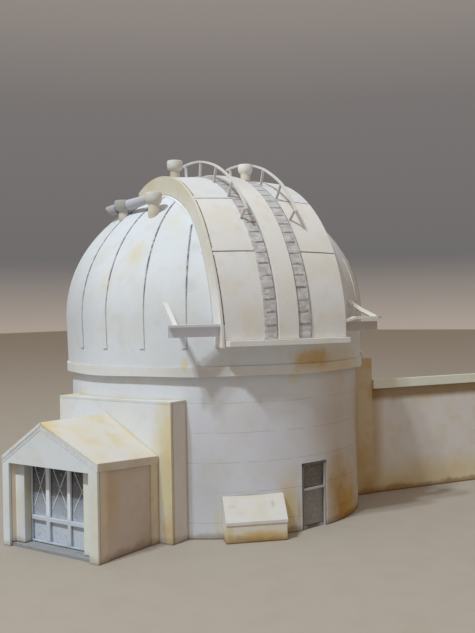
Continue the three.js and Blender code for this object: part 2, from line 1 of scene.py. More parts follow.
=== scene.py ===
"""A card scale model of a domed observatory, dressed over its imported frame.

Lengths are millimetres until a mesh is made. The drum's axis is Z, the model stands on z = 0 and the
porch faces -Y. A bearing is an angle in degrees seen from above, from -Y (0) towards +X (90). Each
sub-assembly is worked out facing -Y and turned to its bearing.
"""
import json
import logging
import math
from abc import ABC, abstractmethod
from collections.abc import Sequence
from dataclasses import dataclass
from enum import Enum

import bmesh
import bpy
import numpy as np
from mathutils import Matrix, Vector

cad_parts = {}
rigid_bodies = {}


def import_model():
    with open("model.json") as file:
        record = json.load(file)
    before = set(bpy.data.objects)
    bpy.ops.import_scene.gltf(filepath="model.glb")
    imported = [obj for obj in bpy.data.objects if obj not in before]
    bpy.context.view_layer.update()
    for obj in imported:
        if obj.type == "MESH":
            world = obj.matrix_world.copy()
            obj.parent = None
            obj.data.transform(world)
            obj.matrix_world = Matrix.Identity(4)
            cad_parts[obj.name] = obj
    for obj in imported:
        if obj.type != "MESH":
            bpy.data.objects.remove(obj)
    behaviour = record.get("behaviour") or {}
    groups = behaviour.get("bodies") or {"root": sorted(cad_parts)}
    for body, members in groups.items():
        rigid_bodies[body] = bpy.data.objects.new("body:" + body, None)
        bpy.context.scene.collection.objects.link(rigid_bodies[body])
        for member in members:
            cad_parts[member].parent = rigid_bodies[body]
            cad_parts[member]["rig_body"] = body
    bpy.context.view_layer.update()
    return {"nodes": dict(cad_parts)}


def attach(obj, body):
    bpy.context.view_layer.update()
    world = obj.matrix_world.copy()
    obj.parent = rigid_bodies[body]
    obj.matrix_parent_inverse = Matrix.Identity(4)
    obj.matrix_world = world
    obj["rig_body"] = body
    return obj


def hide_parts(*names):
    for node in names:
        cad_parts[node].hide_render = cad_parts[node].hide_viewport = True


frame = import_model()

LOG = logging.getLogger("observatory")
Pair = tuple[float, float]
Triple = tuple[float, float, float]
Socket = bpy.types.NodeSocket

# A millimetre in metres, the card's thickness, the gap that the CAD leaves between neighbours, and how
# far the top of a wall moves up to close most of it
MM = 0.001
CARD = 1.2
GAP = 0.3
LIFT = 0.28

# Corners closer than this many metres are one, and edges sharper than this are drawn sharp
MERGE = 2e-6
SHARP = math.radians(32)


class Side(Enum):
    """A hand of the shutter, seen from in front of it."""

    LEFT = -1
    RIGHT = 1

    @property
    def word(self) -> str:
        """The hand as it stands in a piece's name."""
        return self.name.lower()


class Body(Enum):
    """What a piece moves with."""

    BUILDING = "building"
    DOME = "dome"


class Slot(Enum):
    """The names of the record's finishes."""

    WHITE_CARD = "white_card"
    CREAM_CARD = "cream_card"
    WHITE_PAPER = "white_paper"
    LADDER_PRINT = "ladder_print"
    VENT_PAPER = "vent_paper"


# Shapes


def unit(vectors: np.ndarray) -> np.ndarray:
    """Each vector divided by its length."""
    return vectors / np.linalg.norm(vectors, axis=-1, keepdims=True)


def turn(points: np.ndarray, bearing: float) -> np.ndarray:
    """Turns points about Z: x cos b - y sin b, x sin b + y cos b, z.

    Args:
        points: an array whose last axis is x, y, z.
        bearing: degrees.

    Returns:
        The turned points, in the same layout.
    """
    b = math.radians(bearing)
    x, y, z = np.moveaxis(np.asarray(points, float), -1, 0)
    return np.stack([x * math.cos(b) - y * math.sin(b), x * math.sin(b) + y * math.cos(b), z], -1)


def on_round(radius: float, bearing: float, height: float) -> np.ndarray:
    """Points of a round wall: r sin b, -r cos b, z. Numbers or arrays that fit each other."""
    b = np.radians(bearing)
    return np.stack(np.broadcast_arrays(radius * np.sin(b), -radius * np.cos(b), height), -1)


def oblong(half: float, low: float, high: float) -> np.ndarray:
    """The corners s, t of a rectangular section: s from -half to half, t from low to high."""
    return np.array([[-half, low], [half, low], [half, high], [-half, high]])


@dataclass
class Skin:
    """A closed surface: its corners, and blocks of faces with one row of corner numbers a face."""

    corners: np.ndarray
    faces: list[np.ndarray]

    def outward(self) -> "Skin":
        """Turns the faces over where the volume, a sixth of the sum of a . (b x c), is negative."""
        volume = 0.0
        for block in self.faces:
            a = self.corners[block[:, 0]]
            for k in range(1, block.shape[1] - 1):
                b, c = self.corners[block[:, k]], self.corners[block[:, k + 1]]
                volume += float(np.einsum("ij,ij->", a, np.cross(b, c)))
        return self if volume > 0 else Skin(self.corners, [block[:, ::-1] for block in self.faces])

    def turned(self, bearing: float) -> "Skin":
        """The same surface turned to a bearing."""
        return Skin(turn(self.corners, bearing), self.faces)


def joined(skins: Sequence[Skin]) -> Skin:
    """Joins closed surfaces into one piece, which keeps each of them closed.

    Args:
        skins: the surfaces.

    Returns:
        Their corners one after another, and their faces with the corner numbers moved up.
    """
    starts = np.cumsum([0] + [len(skin.corners) for skin in skins])
    faces = [block + start for skin, start in zip(skins, starts) for block in skin.faces]
    return Skin(np.concatenate([skin.corners for skin in skins]), faces)


def sheet(over: np.ndarray, under: np.ndarray, keep: np.ndarray | None = None, wrap: bool = False) -> Skin:
    """A sheet with a thickness, closed by a rim wherever a kept cell has no kept neighbour.

    Args:
        over: the upper grid of points, rows by columns by 3.
        under: the lower grid, laid out alike.
        keep: which cells are there, all if it is left out.
        wrap: whether the last row joins the first.

    Returns:
        The closed sheet.
    """
    rows, columns = over.shape[:2]
    o = np.arange(rows * columns).reshape(rows, columns)
    if wrap:
        o = np.concatenate([o, o[:1]])
    i = o + rows * columns
    keep = np.ones((o.shape[0] - 1, columns - 1), bool) if keep is None else keep
    cells = [g for grid in (o, i) for g in (grid[:-1, :-1], grid[1:, :-1], grid[1:, 1:], grid[:-1, 1:])]
    o00, o10, o11, o01, i00, i10, i11, i01 = cells
    padded = np.pad(keep, ((0, 0), (1, 1)))
    before = np.roll(keep, 1, 0) if wrap else np.pad(keep, ((1, 0), (0, 0)))[:-1]
    after = np.roll(keep, -1, 0) if wrap else np.pad(keep, ((0, 1), (0, 0)))[1:]
    walls = [
        (keep, (o00, o10, o11, o01)),
        (keep, (i00, i01, i11, i10)),
        (keep & ~padded[:, :-2], (o10, o00, i00, i10)),
        (keep & ~padded[:, 2:], (o01, o11, i11, i01)),
        (keep & ~before, (o00, o01, i01, i00)),
        (keep & ~after, (o11, o10, i10, i11)),
    ]
    faces = np.concatenate([np.stack([c[mask] for c in quad], -1) for mask, quad in walls])
    used, faces = np.unique(faces, return_inverse=True)
    corners = np.concatenate([over.reshape(-1, 3), under.reshape(-1, 3)])[used]
    return Skin(corners, [faces.reshape(-1, 4)]).outward()


def lathe(profile: np.ndarray, segments: int) -> Skin:
    """Carries a closed profile once round Z: point = on_round of its radius, the bearing, its height.

    Args:
        profile: rows of radius and height.
        segments: how many steps the turn has.

    Returns:
        The closed ring, or the closed body where the profile touches the axis.
    """
    bearings = np.linspace(0, 360, segments, endpoint=False)[:, None]
    corners = on_round(profile[:, 0], bearings, profile[:, 1])
    count = len(profile)
    a = np.arange(segments)[:, None] * count
    b = (np.arange(segments)[:, None] + 1) % segments * count
    j, k = np.arange(count), (np.arange(count) + 1) % count
    quads = np.stack([a + j, b + j, b + k, a + k], -1).reshape(-1, 4)
    return Skin(corners.reshape(-1, 3), [quads]).outward()


def sweep(path: np.ndarray, across: np.ndarray, up: np.ndarray, section: np.ndarray) -> Skin:
    """A section carried along a path and capped: point = path + s across + t up.

    Args:
        path: the points of the path.
        across: the section's first axis at each point, or one for all.
        up: its second axis, alike.
        section: points s, t of the section.

    Returns:
        The closed bar.
    """
    across, up = np.broadcast_to(across, path.shape), np.broadcast_to(up, path.shape)
    rings = path[:, None] + section[:, :1] * across[:, None] + section[:, 1:] * up[:, None]
    length, count = rings.shape[:2]
    o = np.arange(length * count).reshape(length, count)
    n = np.roll(o, -1, 1)
    quads = np.stack([o[:-1], n[:-1], n[1:], o[1:]], -1).reshape(-1, 4)
    return Skin(rings.reshape(-1, 3), [quads, o[:1, ::-1], o[-1:]]).outward()


def straight(start: Triple, end: Triple, width: float, depth: float, beside: Triple = (1, 0, 0)) -> Skin:
    """A straight strip of rectangular section.

    Args:
        start: the middle of one end.
        end: the middle of the other end.
        width: its width, square to its run and as nearly along beside as that allows.
        depth: its thickness.
        beside: where its width points.

    Returns:
        The closed strip.
    """
    path = np.array([start, end], float)
    run = unit(path[1] - path[0])
    across = unit(np.asarray(beside, float) - np.dot(beside, run) * run)
    return sweep(path, across, np.cross(run, across), oblong(width / 2, -depth / 2, depth / 2))


# Finishes


@dataclass(frozen=True)
class Stain:
    """A soft-edged blot, a real mark or painted shading: its middle, its reach along, through and up the
    surface, its tint and depth.

    Its bearing turns the reach about Z.
    """

    place: Triple
    reach: Triple
    tint: Triple
    depth: float
    ragged: float = 1.1
    bearing: float = 0.0


def turned_stain(bearing: float, place: Sequence[float], reach: Triple, tint: Triple, depth: float,
                 ragged: float = 1.1) -> Stain:
    """A blot, a real mark or painted shading, whose place and reach are given in a frame that is turned to a
    bearing.
    """
    x, y, z = turn(np.asarray(place, float), bearing).tolist()
    return Stain((x, y, z), reach, tint, depth, ragged, bearing)


def wall_stain(bearing: float, z: float, reach: Pair, tint: Triple, depth: float,
               ragged: float = 1.1) -> Stain:
    """A blot, a real mark or painted shading, on the drum or the dome's foot at a bearing, with its reach
    along and up the wall.
    """
    along, up = reach
    return turned_stain(bearing, (0.0, -69.0, z), (along, 9.0 + along / 3, up), tint, depth, ragged)


@dataclass(frozen=True)
class Wash:
    """A tint laid on by height, a real one or painted shade: none of it at start, all of it at end, on a
    rough line.
    """

    start: float
    end: float
    tint: Triple
    rough: float = 3.0


def add_node(tree: bpy.types.NodeTree, kind: str, feeds: dict[str | int, object],
             **settings: object) -> bpy.types.Node:
    """Adds a node to a graph.

    Args:
        tree: the graph.
        kind: the node's type, without the ShaderNode that every type starts with.
        feeds: an output or a constant for each input, by the input's name or number.
        settings: the node's own properties.

    Returns:
        The node.
    """
    node = tree.nodes.new(f"ShaderNode{kind}")
    for name, value in settings.items():
        setattr(node, name, value)
    for name, value in feeds.items():
        if isinstance(value, Socket):
            tree.links.new(value, node.inputs[name])
        else:
            node.inputs[name].default_value = value
    return node


class Graph:
    """The node graph of one material, whose coordinates are the piece's own in millimetres."""

    def __init__(self, name: str) -> None:
        """Starts a material with its coordinates and two kinds of noise.

        Args:
            name: the material's name.
        """
        self.material = bpy.data.materials.new(name)
        self.material.use_nodes = True
        self.tree = self.material.node_tree
        self.tree.nodes.clear()
        self.place = self.node("TexCoord", {}).outputs["Object"]
        self.place = self.stretched((1 / MM, 1 / MM, 1 / MM))
        self.z = self.node("SeparateXYZ", {0: self.place}).outputs["Z"]
        self.ragged = self.noise(0.16, 4)
        self.soft = self.noise(0.08, 3)

    def node(self, kind: str, feeds: dict[str | int, object], **settings: object) -> bpy.types.Node:
        """A new node of this graph, as add_node makes it."""
        return add_node(self.tree, kind, feeds, **settings)

    def maths(self, operation: str, *values: object) -> Socket:
        """A Math node's output for outputs or numbers."""
        return self.node("Math", dict(enumerate(values)), operation=operation).outputs[0]

    def times(self, a: Socket, b: object) -> Socket:
        """One value times another."""
        return self.maths("MULTIPLY", a, b)

    def roughened(self, value: Socket, by: float) -> Socket:
        """A value plus the ragged noise times by."""
        return self.maths("MULTIPLY_ADD", self.ragged, by, value)

    def stretched(self, scale: Triple) -> Socket:
        """The place with each of its coordinates scaled."""
        return self.node("Mapping", {"Vector": self.place, "Scale": scale}).outputs["Vector"]

    def length(self, vector: Socket) -> Socket:
        """A vector's length."""
        return self.node("VectorMath", {0: vector}, operation="LENGTH").outputs["Value"]

    def noise(self, scale: float, detail: float, stretch: Triple = (1, 1, 1)) -> Socket:
        """Noise with about scale cells to a millimetre, between 0 and 1 around 0.5."""
        place = self.place if stretch == (1, 1, 1) else self.stretched(stretch)
        return self.node("TexNoise", {"Vector": place, "Scale": scale, "Detail": detail}).outputs[0]

    def specks(self, scale: float, size: float) -> Socket:
        """Round specks, one where the nearest cell centre is closer than size, else nothing."""
        cells = self.node("TexVoronoi", {"Vector": self.place, "Scale": scale})
        return self.fade(cells.outputs["Distance"], size, size * 0.6)

    def fade(self, value: Socket, start: float, end: float) -> Socket:
        """A smooth step: 3 s squared - 2 s cubed, where s is the share of the way from start to end.

        Args:
            value: what it depends on.
            start: where it is 0.
            end: where it is 1, above or below start.

        Returns:
            The step, from 0 to 1.
        """
        low, high, bottom, top = (start, end, 0.0, 1.0) if start < end else (end, start, 1.0, 0.0)
        limits = {"From Min": low, "From Max": high, "To Min": bottom, "To Max": top}
        ramp = self.node("MapRange", {"Value": value, **limits}, interpolation_type="SMOOTHSTEP")
        return ramp.outputs["Result"]

    def line(self, value: Socket, at: float, width: float) -> Socket:
        """A thin mark where a value passes a level."""
        return self.fade(self.maths("ABSOLUTE", self.maths("SUBTRACT", value, at)), width, width * 0.3)

    def blot(self, stain: Stain) -> Socket:
        """A blot's mask: 1 within its ragged ellipse, falling to 0 at its edge.

        Args:
            stain: the blot.

        Returns:
            The mask.
        """
        turned = (0, 0, math.radians(stain.bearing))
        feeds = {"Vector": self.place, "Location": stain.place, "Rotation": turned, "Scale": stain.reach}
        ellipse = self.node("Mapping", feeds, vector_type="TEXTURE").outputs["Vector"]
        edge = self.roughened(self.length(ellipse), stain.ragged)
        return self.fade(edge, 1.0 + stain.ragged / 2, 0.15 + stain.ragged / 2)

    def mix(self, mask: Socket, a: object, b: object, blend: str = "MIX") -> Socket:
        """Lays one colour on another.

        Args:
            mask: how much of b is laid on.
            a: the colour underneath, an output or three numbers.
            b: the colour laid on, alike.
            blend: how b is laid on.

        Returns:
            The mixed colour.
        """
        under, over = (value if isinstance(value, Socket) else (*value, 1.0) for value in (a, b))
        return self.node("Mix", {0: mask, 6: under, 7: over}, data_type="RGBA", blend_type=blend).outputs[2]

    def tinted(self, colour: object, mask: Socket, tint: Triple, depth: float) -> Socket:
        """A colour multiplied by a tint where the mask is, as deep as depth."""
        return self.mix(self.times(mask, depth), colour, tint, "MULTIPLY")

    def finish(self, colour: Socket, roughness: float, grain: float) -> bpy.types.Material:
        """Ends the graph in a matt shader with a pulpy grain.

        Args:
            colour: the shader's colour.
            roughness: the shader's roughness.
            grain: how high the grain stands, in millimetres.

        Returns:
            The material.
        """
        pulp = self.maths("MULTIPLY_ADD", self.noise(0.6, 3), 2.0, self.noise(2.2, 3))
        bump = self.node("Bump", {"Strength": 0.5, "Distance": grain * MM, "Height": pulp})
        shader = self.node("BsdfPrincipled", {
            "Base Color": colour, "Roughness": roughness, "Specular IOR Level": 0.3,
            "Normal": bump.outputs["Normal"]})
        self.node("OutputMaterial", {"Surface": shader.outputs["BSDF"]})
        return self.material


class Finish(ABC):
    """A look that any piece can be given: how rough it is, and how many millimetres its grain stands."""

    roughness: float = 0.85
    grain: float = 0.02

    @abstractmethod
    def colour(self, graph: Graph) -> Socket:
        """Works out the look's colour.

        Args:
            graph: the graph that gets the nodes.

        Returns:
            The colour.
        """

    def material(self, name: str) -> bpy.types.Material:
        """Makes the look a material of that name."""
        graph = Graph(name)
        return graph.finish(self.colour(graph), self.roughness, self.grain)


@dataclass(frozen=True)
class CardFinish(Finish):
    """Card or paper: a tone that wanders a little, with pencil marks, dirt, tints by height and blots, some
    of them painted shade or light.

    The course is the height from one pencil line to the next and the ring is the radius of a line of
    glue round Z, and where either is 0 there is none.
    """

    tone: Triple = (0.79, 0.795, 0.81)
    aged: Triple = (0.97, 0.93, 0.84)
    age: float = 0.5
    grime: float = 0.0
    course: float = 0.0
    ring: float = 0.0
    roughness: float = 0.85
    stains: tuple[Stain, ...] = ()
    washes: tuple[Wash, ...] = ()

    def pencil(self, graph: Graph) -> Socket:
        """Level lines, broken and a little wavy, each in the middle of its course."""
        wavy = graph.maths("MULTIPLY_ADD", graph.soft, 1.2, graph.z)
        cycle = graph.maths("FRACT", graph.maths("DIVIDE", graph.maths("SUBTRACT", wavy, 1.15), self.course))
        lines = graph.line(graph.times(cycle, self.course), self.course / 2, 0.24)
        return graph.times(lines, graph.fade(graph.noise(0.11, 3, (1, 1, 3)), 0.36, 0.5))

    def colour(self, graph: Graph) -> Socket:
        """Lays the wandering tones, the fibres, the marks, the tints by height, the blots and the dirt with
        its painted foot shade.
        """
        yellowed = tuple(tone * (1 - self.age * (1 - aged)) for tone, aged in zip(self.tone, self.aged))
        colour = graph.mix(graph.fade(graph.soft, 0.42, 0.66), self.tone, yellowed)
        fibres = graph.noise(1.4, 4, (1.0, 1.0, 0.35))
        colour = graph.tinted(colour, graph.fade(fibres, 0.5, 0.75), (0.94, 0.94, 0.95), 0.5)
        colour = graph.tinted(colour, graph.fade(graph.ragged, 0.5, 0.72), (0.95, 0.94, 0.92), 0.6)
        dots = graph.times(graph.specks(0.12, 0.045), graph.fade(graph.soft, 0.5, 0.56))
        colour = graph.tinted(colour, dots, (0.55, 0.52, 0.5), 0.6)
        if self.course:
            colour = graph.tinted(colour, self.pencil(graph), (0.6, 0.53, 0.46), 0.42)
        if self.ring:
            away = graph.roughened(graph.length(graph.stretched((1, 1, 0))), 1.6)
            colour = graph.tinted(colour, graph.line(away, self.ring + 0.8, 1.7), (1.0, 0.84, 0.48), 0.85)
        for wash_and_shading in self.washes:
            shift = wash_and_shading.rough / 2
            mask = graph.fade(graph.roughened(graph.z, wash_and_shading.rough), wash_and_shading.start + shift, wash_and_shading.end + shift)
            colour = graph.tinted(colour, mask, wash_and_shading.tint, 1.0)
        for stain in self.stains:
            colour = graph.tinted(colour, graph.blot(stain), stain.tint, stain.depth)
        if self.grime:
            splash = graph.fade(graph.roughened(graph.z, -5.0), 1.2, -1.6)
            colour = graph.tinted(colour, splash, (0.55, 0.45, 0.33), self.grime)
            # The darkest band, below 0.9 mm, is painted contact shade where the wall meets the floor; the
            # splash above it is dirt.
            colour = graph.tinted(colour, graph.fade(graph.z, 0.9, 0.3), (0.4, 0.34, 0.28), self.grime)
        return colour


@dataclass(frozen=True)
class InkFinish(Finish):
    """Pen and pencil marks, and dark lines painted as shade along joints and edges: a dark tone with worn
    places, paler from one height to another.
    """

    tone: Triple
    worn: Triple
    paler: Pair | None = None

    roughness = 0.7
    grain = 0.01

    def colour(self, graph: Graph) -> Socket:
        """Lays the worn tone on the dark one, and again by height."""
        colour = graph.mix(graph.fade(graph.noise(0.45, 4), 0.42, 0.62), self.tone, self.worn)
        if self.paler:
            colour = graph.mix(graph.times(graph.fade(graph.z, *self.paler), 0.75), colour, self.worn)
        return colour


@dataclass(frozen=True)
class SpeckledFinish(Finish):
    """Grey print behind glass bars: a tone at each of several heights, from the top down, freckled; on the
    porch panes the upper tones are partly painted shade.
    """

    stops: tuple[tuple[float, Triple], ...]
    freckle: float = 0.4

    roughness = 0.6
    grain = 0.015

    def colour(self, graph: Graph) -> Socket:
        """Fades from each tone to the next one down, then lays pale and dark freckles."""
        height = graph.roughened(graph.z, 3.0)
        colour = self.stops[0][1]
        for (above, _), (below, tone) in zip(self.stops, self.stops[1:]):
            colour = graph.mix(graph.fade(height, above + 1.5, below + 1.5), colour, tone)
        light = graph.fade(graph.noise(1.1, 5), 0.52, 0.68)
        colour = graph.mix(graph.times(light, self.freckle), colour, (0.62, 0.66, 0.72))
        dark = graph.fade(graph.noise(0.8, 5, (1.3, 1.0, 0.8)), 0.56, 0.7)
        return graph.mix(graph.times(dark, self.freckle * 0.8), colour, (0.06, 0.06, 0.08))


@dataclass(frozen=True)
class LadderFinish(Finish):
    """Smudged grey-beige paper under the rungs, which changes to another tone near its top."""

    top: Triple
    tone: Triple = (0.49, 0.47, 0.47)
    smudged: Triple = (0.70, 0.69, 0.68)
    changes: Pair = (134.0, 152.0)

    roughness = 0.8

    def colour(self, graph: Graph) -> Socket:
        """Lays the smudges and darker spots, then the top's tone by height."""
        smudge = graph.fade(graph.noise(0.3, 5, (1, 1, 2)), 0.35, 0.7)
        colour = graph.mix(smudge, self.tone, self.smudged)
        colour = graph.tinted(colour, graph.fade(graph.noise(0.5, 4), 0.55, 0.7), (0.75, 0.72, 0.73), 0.5)
        return graph.mix(graph.fade(graph.roughened(graph.z, 8.0), *self.changes), colour, self.top)


@dataclass(frozen=True)
class SlabFinish(Finish):
    """Grey card strewn with dark crumbs, or plain where crumbs is 0."""

    tone: Triple
    crumbs: float = 0.8

    roughness = 0.9

    def colour(self, graph: Graph) -> Socket:
        """Lays a wandering tint and the crumbs."""
        colour = graph.tinted(self.tone, graph.fade(graph.soft, 0.4, 0.7), (0.95, 0.94, 0.92), 0.6)
        if self.crumbs:
            spots = graph.times(graph.specks(0.8, 0.3), graph.fade(graph.ragged, 0.5, 0.58))
            colour = graph.mix(graph.times(spots, self.crumbs), colour, (0.12, 0.11, 0.11))
        return colour


YELLOW: Triple = (1.0, 0.88, 0.55)
CREAM: Triple = (0.98, 0.93, 0.78)
BROWN: Triple = (0.80, 0.64, 0.45)
ORANGE: Triple = (0.87, 0.64, 0.31)
GREY: Triple = (0.78, 0.77, 0.78)
WHITE = CardFinish(grime=0.5)


# Pieces


def merged(source: bpy.types.Mesh, name: str, flatten: bool = False) -> bpy.types.Mesh:
    """Copies a mesh and merges its doubled corners.

    Args:
        source: the mesh, in metres.
        name: the copy's name.
        flatten: whether triangles that lie in one plane become one face.

    Returns:
        The copy.
    """
    work = bmesh.new()
    work.from_mesh(source)
    bmesh.ops.remove_doubles(work, verts=work.verts, dist=MERGE)
    if flatten:
        bmesh.ops.dissolve_limit(work, angle_limit=math.radians(0.5), verts=work.verts, edges=work.edges)
    mesh = bpy.data.meshes.new(name)
    work.to_mesh(mesh)
    work.free()
    return mesh


def placed(name: str, data: bpy.types.ID) -> bpy.types.Object:
    """Puts a new object in the scene.

    Args:
        name: its name.
        data: its mesh, camera or lamp.

    Returns:
        The object, at the origin.
    """
    thing = bpy.data.objects.new(name, data)
    bpy.context.scene.collection.objects.link(thing)
    return thing


def finished(mesh: bpy.types.Mesh, finish: Finish, bevel: float) -> bpy.types.Object:
    """Shades a mesh, gives it its material and softened edges, and puts it in the scene.

    Args:
        mesh: the mesh, in metres, with its piece's name.
        finish: its look.
        bevel: the width of its softened edges in millimetres, none at 0.

    Returns:
        The object, at the origin.
    """
    mesh.polygons.foreach_set("use_smooth", np.ones(len(mesh.polygons), bool))
    mesh.set_sharp_from_angle(angle=SHARP)
    mesh.materials.append(finish.material(f"{mesh.name}_finish"))
    piece = placed(mesh.name, mesh)
    if bevel:
        edge = piece.modifiers.new("softened_edges", "BEVEL")
        edge.width = bevel * MM
        edge.segments = 2
        edge.limit_method = "ANGLE"
        edge.angle_limit = SHARP
        edge.harden_normals = True
    return piece


def make_piece(name: str, skin: Skin, finish: Finish, body: Body,
               stands_for: Sequence[str] = (), bevel: float = 0.0) -> bpy.types.Object:
    """Makes a new piece from a surface in millimetres.

    Args:
        name: the piece's name.
        skin: its closed surface.
        finish: its look.
        body: what it moves with.
        stands_for: the CAD nodes that it replaces.
        bevel: the width of its softened edges in millimetres.

    Returns:
        The piece.
    """
    raw = bpy.data.meshes.new("raw")
    raw.from_pydata((skin.corners * MM).tolist(), [], [row for block in skin.faces for row in block.tolist()])
    piece = finished(merged(raw, name), finish, bevel)
    bpy.data.meshes.remove(raw)
    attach(piece, body.value)
    if stands_for:
        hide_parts(*stands_for)
    LOG.info("%s: %d faces, for %s", name, len(piece.data.polygons), list(stands_for) or "itself")
    return piece


def soften(node: str, finish: Finish, bevel: float = 0.14, raise_above: float = 0.0) -> bpy.types.Object:
    """Stands a copy of a CAD node in its place, its corners merged and its cut edges softened.

    Args:
        node: the CAD node.
        finish: the copy's look.
        bevel: the width of the softened edges in millimetres.
        raise_above: the height above which its corners move up against the roof, none at 0.

    Returns:
        The copy.
    """
    source = frame["nodes"][node]
    mesh = merged(source.data, f"{node}_sheet", flatten=True)
    if raise_above:
        corners = np.empty(len(mesh.vertices) * 3)
        mesh.vertices.foreach_get("co", corners)
        heights = corners[2::3]
        heights[heights > raise_above * MM] += LIFT * MM
        mesh.vertices.foreach_set("co", corners)
    piece = finished(mesh, finish, bevel)
    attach(piece, source["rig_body"])
    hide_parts(node)
    LOG.info("%s_sheet: %d faces, for %s", node, len(mesh.polygons), node)
    return piece


# The building


@dataclass
class Drum:
    """The round wall, one wrapped sheet with a doorway, its door and its floor."""

    radius: float = 67.6
    top: float = 67.9
    door_bearing: float = 73.9
    door_width: float = 14.6
    door_height: float = 28.0
    door_columns: int = 7
    door_rows: int = 4

    def wall(self) -> Skin:
        """The wrapped sheet, its radius moved by 0.08 sin(5 b + 40) sin(z / 17), without the doorway."""
        half = math.degrees(self.door_width / 2 / self.radius)
        first, last = self.door_bearing - half, self.door_bearing + half
        door = np.linspace(first, last, self.door_columns + 1)
        bearings = np.concatenate([door, np.linspace(last, first + 360, 170)[1:-1]])[:, None]
        low = np.linspace(0, self.door_height, self.door_rows + 1)
        heights = np.concatenate([low, np.linspace(33, self.top, 8)])
        wave = 0.08 * np.sin(np.radians(bearings * 5 + 40)) * np.sin(heights / 17)
        keep = np.ones((len(bearings), len(heights) - 1), bool)
        keep[:self.door_columns, :self.door_rows] = False
        faces = (on_round(radius, bearings, heights) for radius in (self.radius + wave, self.radius - CARD))
        return sheet(*faces, keep, wrap=True)

    def build(self) -> None:
        """Makes the wall, the floor, the door and its frame."""
        card = CardFinish(tone=(0.755, 0.79, 0.855), grime=0.75, course=12.1, stains=(
            wall_stain(96, 4, (24, 30), (0.80, 0.56, 0.19), 1.0, 0.5),
            wall_stain(86, 14, (12, 26), (0.82, 0.67, 0.43), 1.0, 0.4),
            wall_stain(92, 3, (11, 13), (0.90, 0.68, 0.42), 0.75),
            wall_stain(65, 24.5, (3.5, 6), CREAM, 0.7),
            wall_stain(66.4, 8, (1.6, 9), BROWN, 0.6),
            wall_stain(36.4, 7, (2.6, 9), YELLOW, 0.55),
            wall_stain(61.5, 8, (9, 22), (1.0, 0.82, 0.44), 1.0, 0.6),
            wall_stain(26.2, 30, (1.8, 44), CREAM, 0.7),
            # These three wide warm tints on the drum's shaded right side are partly real discolouring and
            # partly painted warm shade.
            wall_stain(124, 34, (36, 80), (0.66, 0.465, 0.23), 1.0, 0.3),
            wall_stain(92, 44, (34, 56), (0.84, 0.74, 0.62), 1.0, 0.2),
            wall_stain(114, 36, (12, 54), (0.98, 0.88, 0.66), 1.0, 0.3),
            wall_stain(65, 64, (6, 3.5), YELLOW, 0.6),
            wall_stain(30, 20, (20, 30), (0.88, 0.88, 0.88), 0.9, 0.3),
            wall_stain(-52, 30, (14, 30), CREAM, 0.4),
            wall_stain(200, 20, (22, 26), CREAM, 0.5),
        ), washes=(Wash(58, 46, (0.95, 0.93, 0.94)),))
        nodes = [*(f"drum_wall_{k}" for k in range(1, 5)), "drum_wall_over_door"]
        make_piece("drum_sheet", self.wall(), card, Body.BUILDING, stands_for=nodes)
        shade = wall_stain(self.door_bearing, 0.6, (11, 4), (0.2, 0.18, 0.17), 1.0)
        soften("drum_floor", CardFinish(stains=(shade,)))
        dark = SpeckledFinish(((17.3, (0.165, 0.15, 0.135)), (16.3, (0.29, 0.27, 0.25))), 0.25)
        soften("drum_door", dark, 0.1)
        # Painted shadow down the doorway's left reveal.
        reveal_shadow = wall_stain(67.6, 14, (2.4, 60), (0.22, 0.2, 0.18), 1.0, 0.0)
        soften("drum_door_frame", CardFinish(tone=(0.50, 0.49, 0.49), stains=(reveal_shadow,), washes=(
            Wash(26.2, 26.8, (0.4, 0.38, 0.37), 0.0),)), 0.08)


@dataclass
class Bay:
    """The shallow block wrapped round the front of the drum."""

    right: float = 29.8
    front: float = -71.0

    def build(self) -> None:
        """Dresses the front, the sides and the roof."""
        x, y = self.right, self.front
        edge = Stain((x, y, 30), (12, 4, 46), (0.93, 0.80, 0.46), 0.95, 0.7)
        foot = Stain((x, y, 4), (6, 3, 14), (0.85, 0.68, 0.42), 0.8)
        soften("bay_front_wall", CardFinish(tone=(0.775, 0.795, 0.825), grime=0.5, stains=(
            edge, foot, Stain((-32, y, 50), (5, 3, 8), CREAM, 0.6))), raise_above=50)
        shade = CardFinish(tone=(0.76, 0.72, 0.69), grime=0.6, stains=(
            Stain((x, -61, 28), (3, 1.4, 44), BROWN, 0.8),
            Stain((x, y, 20), (3, 2.2, 32), (0.9, 0.74, 0.5), 0.6)))
        soften("bay_right_wall", shade, raise_above=50)
        soften("bay_left_wall", shade, raise_above=50)
        soften("bay_roof", CardFinish(tone=(0.71, 0.735, 0.755), age=0.8, ring=68.4, stains=(
            Stain((-27, y + 4, 56.5), (8, 6, 2), YELLOW, 0.6), edge)))


